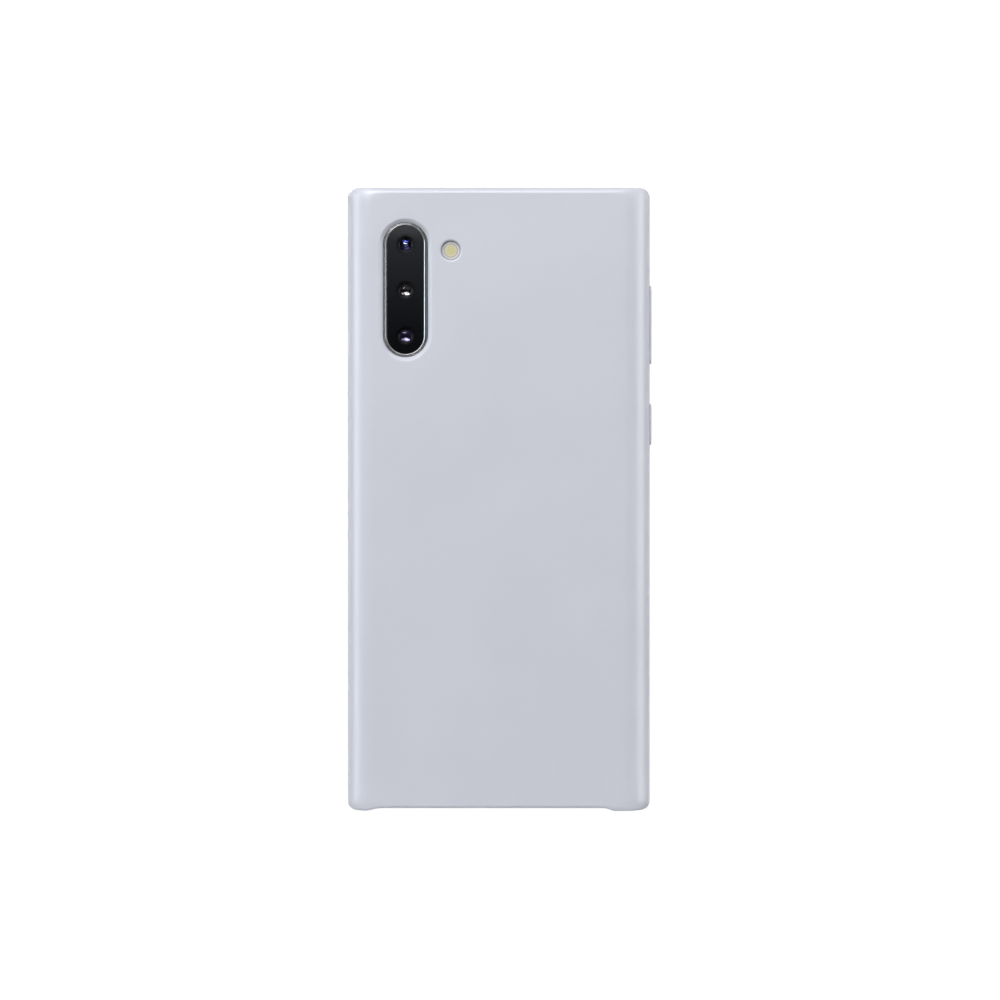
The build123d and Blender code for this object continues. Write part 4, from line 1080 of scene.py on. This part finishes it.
def make_barrel(name, body, lens_r, mouth_r, centre, facing=-1, shoulder=0.3, drop=0.30):
    """Stepped black barrel, its mouth narrowing in fine steps to the lens seat; returns the seat's depth."""
    box = local_box(name + "_barrel")
    front, back = box[1] if facing < 0 else box[1][::-1]
    outer = (box[0][1] - box[0][0]) / 2

    def at(r, inwards):
        return r, front - facing * inwards

    bm = bmesh.new()
    length = abs(back - front)
    profile = [at(outer, length), at(outer, 0.35), at(outer - 0.12, 0.12), at(outer - shoulder, 0.12),
               at(outer - shoulder - 0.12, 0.0), at(mouth_r + 0.08, 0.0), at(mouth_r, 0.05)]
    count = 4
    for i in range(count):
        r = lerp(mouth_r, lens_r + 0.12, (i + 1) / count)
        inwards = lerp(0.05, drop - 0.08, (i + 1) / count)
        profile += [at(r + 0.02, inwards - 0.01), at(r, inwards)]
    profile += [at(lens_r + 0.10, drop - 0.02)]
    lathe(bm, centre, profile)
    seat = at(lens_r - 0.01, drop + 0.10)
    bezel = [at(lens_r + 0.10, drop - 0.02), at(lens_r + 0.05, drop - 0.05), at(lens_r, drop - 0.02), seat]
    lathe(bm, centre, bezel, 1)
    lathe(bm, centre, [seat, at(lens_r - 0.01, length), at(outer, length)])
    materials = [MATERIALS["barrel_black"], MATERIALS["lens_bezel"]]
    finish_piece(name + "_mount", bm, "barrel_black", body, name + "_barrel", 50, materials)
    return front - facing * drop


def dome(sag):
    """Depth below the rim along a shallow cap, from rim (1) to axis (0); a positive sag bulges outwards."""
    return lambda share: -sag * (1 - share * share)


def bowl(radius):
    """Depth below the rim of a hollow whose slope steepens from its middle outwards."""
    slopes = [(0.0, 2.0), (0.2, 9.0), (0.4, 14.0), (0.7, 18.0), (1.0, 23.0)]  # (share, degrees)

    def depth(share):
        total, steps = 0.0, 24
        for i in range(steps):
            at = lerp(share, 1.0, (i + 0.5) / steps)
            for (a0, t0), (a1, t1) in zip(slopes, slopes[1:]):
                if a0 <= at <= a1:
                    total += tan(radians(lerp(t0, t1, (at - a0) / (a1 - a0))))
                    break
        return total * (1 - share) * radius / steps

    return depth


def make_element(name, body, radius, seat, layers, centre, facing=-1):
    """Lens stack: a clear dome in front of one or more tinted surfaces."""
    bm = bmesh.new()
    materials = []
    for index, (material, r, shape, depth) in enumerate(layers):
        materials.append(material)
        shares = [cos(radians(90 * i / 16)) for i in range(16)] + [0.01]
        profile = [(r * share, seat - facing * (depth + shape(share))) for share in shares]
        cap(bm, lathe(bm, centre, profile, index)[-1], index)
    last = len(layers) - 1
    deepest = max(depth + shape(0.0) for _, _, shape, depth in layers) + 0.15
    wall = [(radius, seat - facing * depth) for depth in (layers[-1][3], deepest)]
    cap(bm, lathe(bm, centre, wall, last)[-1], last)
    finish_piece(name + "_front_glass", bm, "lens_glass", body, name + "_element", materials=materials)


make_ring()
make_window()
FLASH_OUT = 0.60  # the visible diffuser stands this far out of the CAD one
BLUE_DOME = dome_material("dome_blue", (0.009, 0.012, 0.060))
BLUE_INNER = dome_material("dome_inner", (0.20, 0.21, 0.24))
BLUE_BOWL = bowl_material("bowl_blue", (0.0005, 0.0005, 0.003), (0.005, 0.005, 0.012), 0.10)
BLUE_PUPIL = bowl_material("pupil_blue", (0.001, 0.001, 0.006), (0.034, 0.030, 0.056), 0.09)
NEUTRAL_DOME = dome_material("dome_neutral", (0.007, 0.007, 0.0071))
PINK_BOWL = bowl_material("bowl_neutral", (0.0002, 0.0002, 0.0002), (0.095, 0.087, 0.089), 0.10)
VIOLET_DOME = dome_material("dome_violet", (0.012, 0.011, 0.018))
VIOLET_BOWL = bowl_material("bowl_violet", (0.002, 0.0004, 0.010), (0.062, 0.056, 0.086), 0.10)


def lens_stack(name, body, radius, mouth_r, layers, centre=None, **barrel):
    """Barrel with its stack of (material, radius, shape, depth) surfaces."""
    centre = centre or LENSES[name]
    seat = make_barrel(name, body, radius + 0.03, mouth_r, centre, **barrel)
    make_element(name, body, radius, seat, layers, centre, barrel.get("facing", -1))


lens_stack("ultrawide", "phone", 1.47, 2.05, [
    (BLUE_DOME, 1.47, dome(0.30), 0.06), (BLUE_INNER, 0.80, dome(0.26), 0.14),
    (BLUE_PUPIL, 0.62, dome(-0.20), 0.16), (BLUE_BOWL, 1.47, bowl(1.47), 0.14)])
lens_stack("wide", "wide_lens", 1.44, 1.80, [
    (NEUTRAL_DOME, 1.44, dome(0.36), 0.06), (PINK_BOWL, 1.44, bowl(1.44), 0.10)])
lens_stack("tele", "tele_lens", 1.47, 1.80, [
    (VIOLET_DOME, 1.47, dome(0.36), 0.06), (VIOLET_BOWL, 1.47, bowl(1.47), 0.10)])
lens_stack("front", "front_lens", 0.92, 1.45, [
    (BLUE_DOME, 0.92, dome(0.20), 0.04), (BLUE_BOWL, 0.92, bowl(0.92), 0.07)],
    FRONT_LENS, facing=1, shoulder=0.12, drop=0.22)


def make_flash():
    """Fresnel disc with a raised rim."""
    bm = bmesh.new()
    r, back, front = (FLASH[0][1] - FLASH[0][0]) / 2, FLASH[1][1], FLASH[1][0] - FLASH_OUT
    flange, glass = FLASH_HOLE - 0.12, -PHONE_T - 0.005
    profile = [(r, back), (r, glass), (flange, glass), (flange, front - 0.02), (flange - 0.05, front - 0.06)]
    profile += [(flange - 0.12, front - 0.06), (flange - 0.20, front + 0.02)]
    inner_rim = [(0.02, 0.04), (0.05, 0.02), (0.12, 0.0), (0.30, 0.0), (0.36, 0.06), (0.42, 0.07)]
    profile += [(r - inset, front + deep) for inset, deep in inner_rim]
    for i in range(10):
        radius = lerp(r - 0.46, 0.05, i / 9)
        profile.append((radius, front + 0.07 - 0.05 * (1 - (radius / 1.6) ** 2)))
    add_solid(bm, [circle(radius, y, FLASH_C) for radius, y in profile])
    finish_piece("flash_lens", bm, "flash_diffuser", "phone", "flash_window")


make_flash()


# ---- studio ----------------------------------------
LENS_MM, SENSOR_MM = 250.0, 36.0
VIEW_WIDTH = 0.249128  # metres across the picture at the object
CAMERA_SHIFT = 0.0003  # metres right of the object's middle
CAMERA_RISE = 0.077335  # metres above the feet
WHITE, WHITE_LEVEL = (1, 1, 1, 1), 1.02  # the background as the camera sees it
FLOOR_DROP = 0.122  # the floor lies this far below the feet
FLOOR_SIZE = 12.0
CENTRE = (0, 0, 0.078)  # the object's middle, which the lights face


def make_camera():
    data = bpy.data.cameras.new("camera")
    data.lens, data.sensor_width = LENS_MM, SENSOR_MM
    data.clip_start, data.clip_end = 0.05, 60
    cam = add_object("camera", data)
    cam.location = (CAMERA_SHIFT, -VIEW_WIDTH * LENS_MM / SENSOR_MM, CAD_BOX[0].z + CAMERA_RISE)
    cam.rotation_euler = (pi / 2, 0, 0)
    bpy.context.scene.camera = cam


def area_light(name, location, size, power, colour=(1, 1, 1), target=CENTRE, diffuse=True, glossy=True):
    data = bpy.data.lights.new(name, "AREA")
    data.shape, data.size, data.size_y = "RECTANGLE", size[0], size[1]
    data.energy, data.color = power, colour
    obj = add_object(name, data)
    obj.location = location
    obj.rotation_euler = (Vector(target) - Vector(location)).to_track_quat("-Z", "Y").to_euler()
    obj.visible_camera, obj.visible_diffuse, obj.visible_glossy = False, diffuse, glossy
    return obj


def light_only(light, *names, reach=True):
    """Limits a light to the named pieces, or with reach=False to everything else."""
    group = bpy.data.collections.new(light.name + "_receivers")
    for name in names:
        group.objects.link(bpy.data.objects[name])
    if not reach:
        for entry in group.collection_objects:
            entry.light_linking.link_state = "EXCLUDE"
    light.light_linking.receiver_collection = group


def make_world():
    """White to the camera. To all else a grey room, brighter overhead and at both sides, darker behind."""
    studio = bpy.data.worlds.new("studio")
    bpy.context.scene.world = studio
    t = Tree("studio", studio)
    t.nodes.clear()
    direction = t.add("TexCoord").outputs["Generated"]
    x, y, z = t.add("SeparateXYZ", {0: direction}).outputs
    overhead = t.linear(z, -0.6, 0.9, 0.05, 0.22)
    sides = t.linear(t.math("ABSOLUTE", x), 0.35, 0.95, 0.0, 0.10)
    behind = t.ramp(y, -0.92, -0.45, 0.22, 1.0)
    strength = t.times(t.plus(overhead, sides), behind)
    room = t.get("Background", {"Color": (0.97, 0.98, 1.0, 1), "Strength": strength})
    white = t.get("Background", {"Color": WHITE, "Strength": WHITE_LEVEL})
    to_camera = t.add("LightPath").outputs["Is Camera Ray"]
    t.add("OutputWorld", {0: t.get("MixShader", {0: to_camera, 1: room, 2: white})})


def make_floor():
    """Pale floor below the object, fading into the white background."""
    t = Tree("floor")
    source = t.add("TexCoord").outputs["Object"]
    flat = t.get("VectorMath", {0: source, 1: (1, 1, 0)}, operation="MULTIPLY")
    reach = t.add("VectorMath", {0: flat}, operation="LENGTH").outputs["Value"]
    camera_ray = t.add("LightPath").outputs["Is Camera Ray"]
    t.surface(
        Base_Color=t.mix(camera_ray, (0.22, 0.22, 0.22), (0.86, 0.86, 0.86)),
        Roughness=t.linear(t.noise(0.02), 0.3, 0.7, 0.7, 0.8))
    depth = t.add("SeparateXYZ", {0: source}).outputs[1]
    far_side = t.times(t.ramp(depth, 0.15, 2.2), 0.9)
    strength = t.math("MINIMUM", t.plus(t.times(camera_ray, WHITE_LEVEL), far_side), WHITE_LEVEL)
    glow = t.get("Emission", {"Color": WHITE, "Strength": strength})
    to_camera = t.times(t.ramp(reach, 0.25, 0.75), camera_ray)
    to_object = t.times(t.ramp(depth, 0.15, 0.8), t.math("SUBTRACT", 1.0, camera_ray))
    t.shade_with(t.bsdf.outputs[0], glow, t.math("MAXIMUM", to_camera, to_object))
    mesh = bpy.data.meshes.new("floor")
    corners = [(x * FLOOR_SIZE, y * FLOOR_SIZE, 0) for x, y in ((-1, -1), (1, -1), (1, 1), (-1, 1))]
    mesh.from_pydata(corners, [], [(0, 1, 2, 3)])
    mesh.materials.append(t.material)
    floor = add_object("floor", mesh)
    floor.location = (0, 0, CAD_BOX[0].z - FLOOR_DROP)


make_camera()
make_world()
make_floor()
key = area_light("key", (-0.33, -1.20, 0.90), (1.05, 0.56), 20.2)
key.data.shape = "ELLIPSE"
band = area_light("band", (-0.15, -1.25, 0.98), (2.0, 0.17), 11.0, diffuse=False)
light_only(band, "ultrawide_front_glass", "wide_front_glass", "tele_front_glass", "island_trim")
SIDES = [(-1, (0.80, 0.92, 1.0), 12.5, 0.5, 2.2), (1, (1.0, 1.0, 1.0), 13.0, 0.75, 7.0)]
for side, tone, power, width, edge in SIDES:
    strip = area_light("strip", (1.24 * side, -0.65, 0.10), (width, 1.3), power, tone, diffuse=False)
    if side > 0:
        light_only(strip, "island_trim", reach=False)
    area_light("grazing", (1.2 * side, 0.15, 0.10), (0.30, 1.2), edge, glossy=False)
    area_light("screen_rim", (1.25 * side, 0.95, 0.15), (0.25, 1.2), 4.8, diffuse=False)
area_light("top", (0.0, -0.55, 1.25), (1.2, 0.5), 3.4)
area_light("under", (0.0, -0.020, -0.117), (0.30, 0.03), 0.13, target=(0.0, -0.020, 0.0), glossy=False)
beside = area_light("beside", (-0.62, -1.20, 0.05), (0.25, 1.0), 4.0, diffuse=False)
light_only(beside, "island_trim")
area_light("screen_side", (-0.6, 1.6, 0.9), (1.0, 1.0), 9.6)

scene = bpy.context.scene
scene.view_settings.view_transform = "Standard"
scene.view_settings.look = "None"
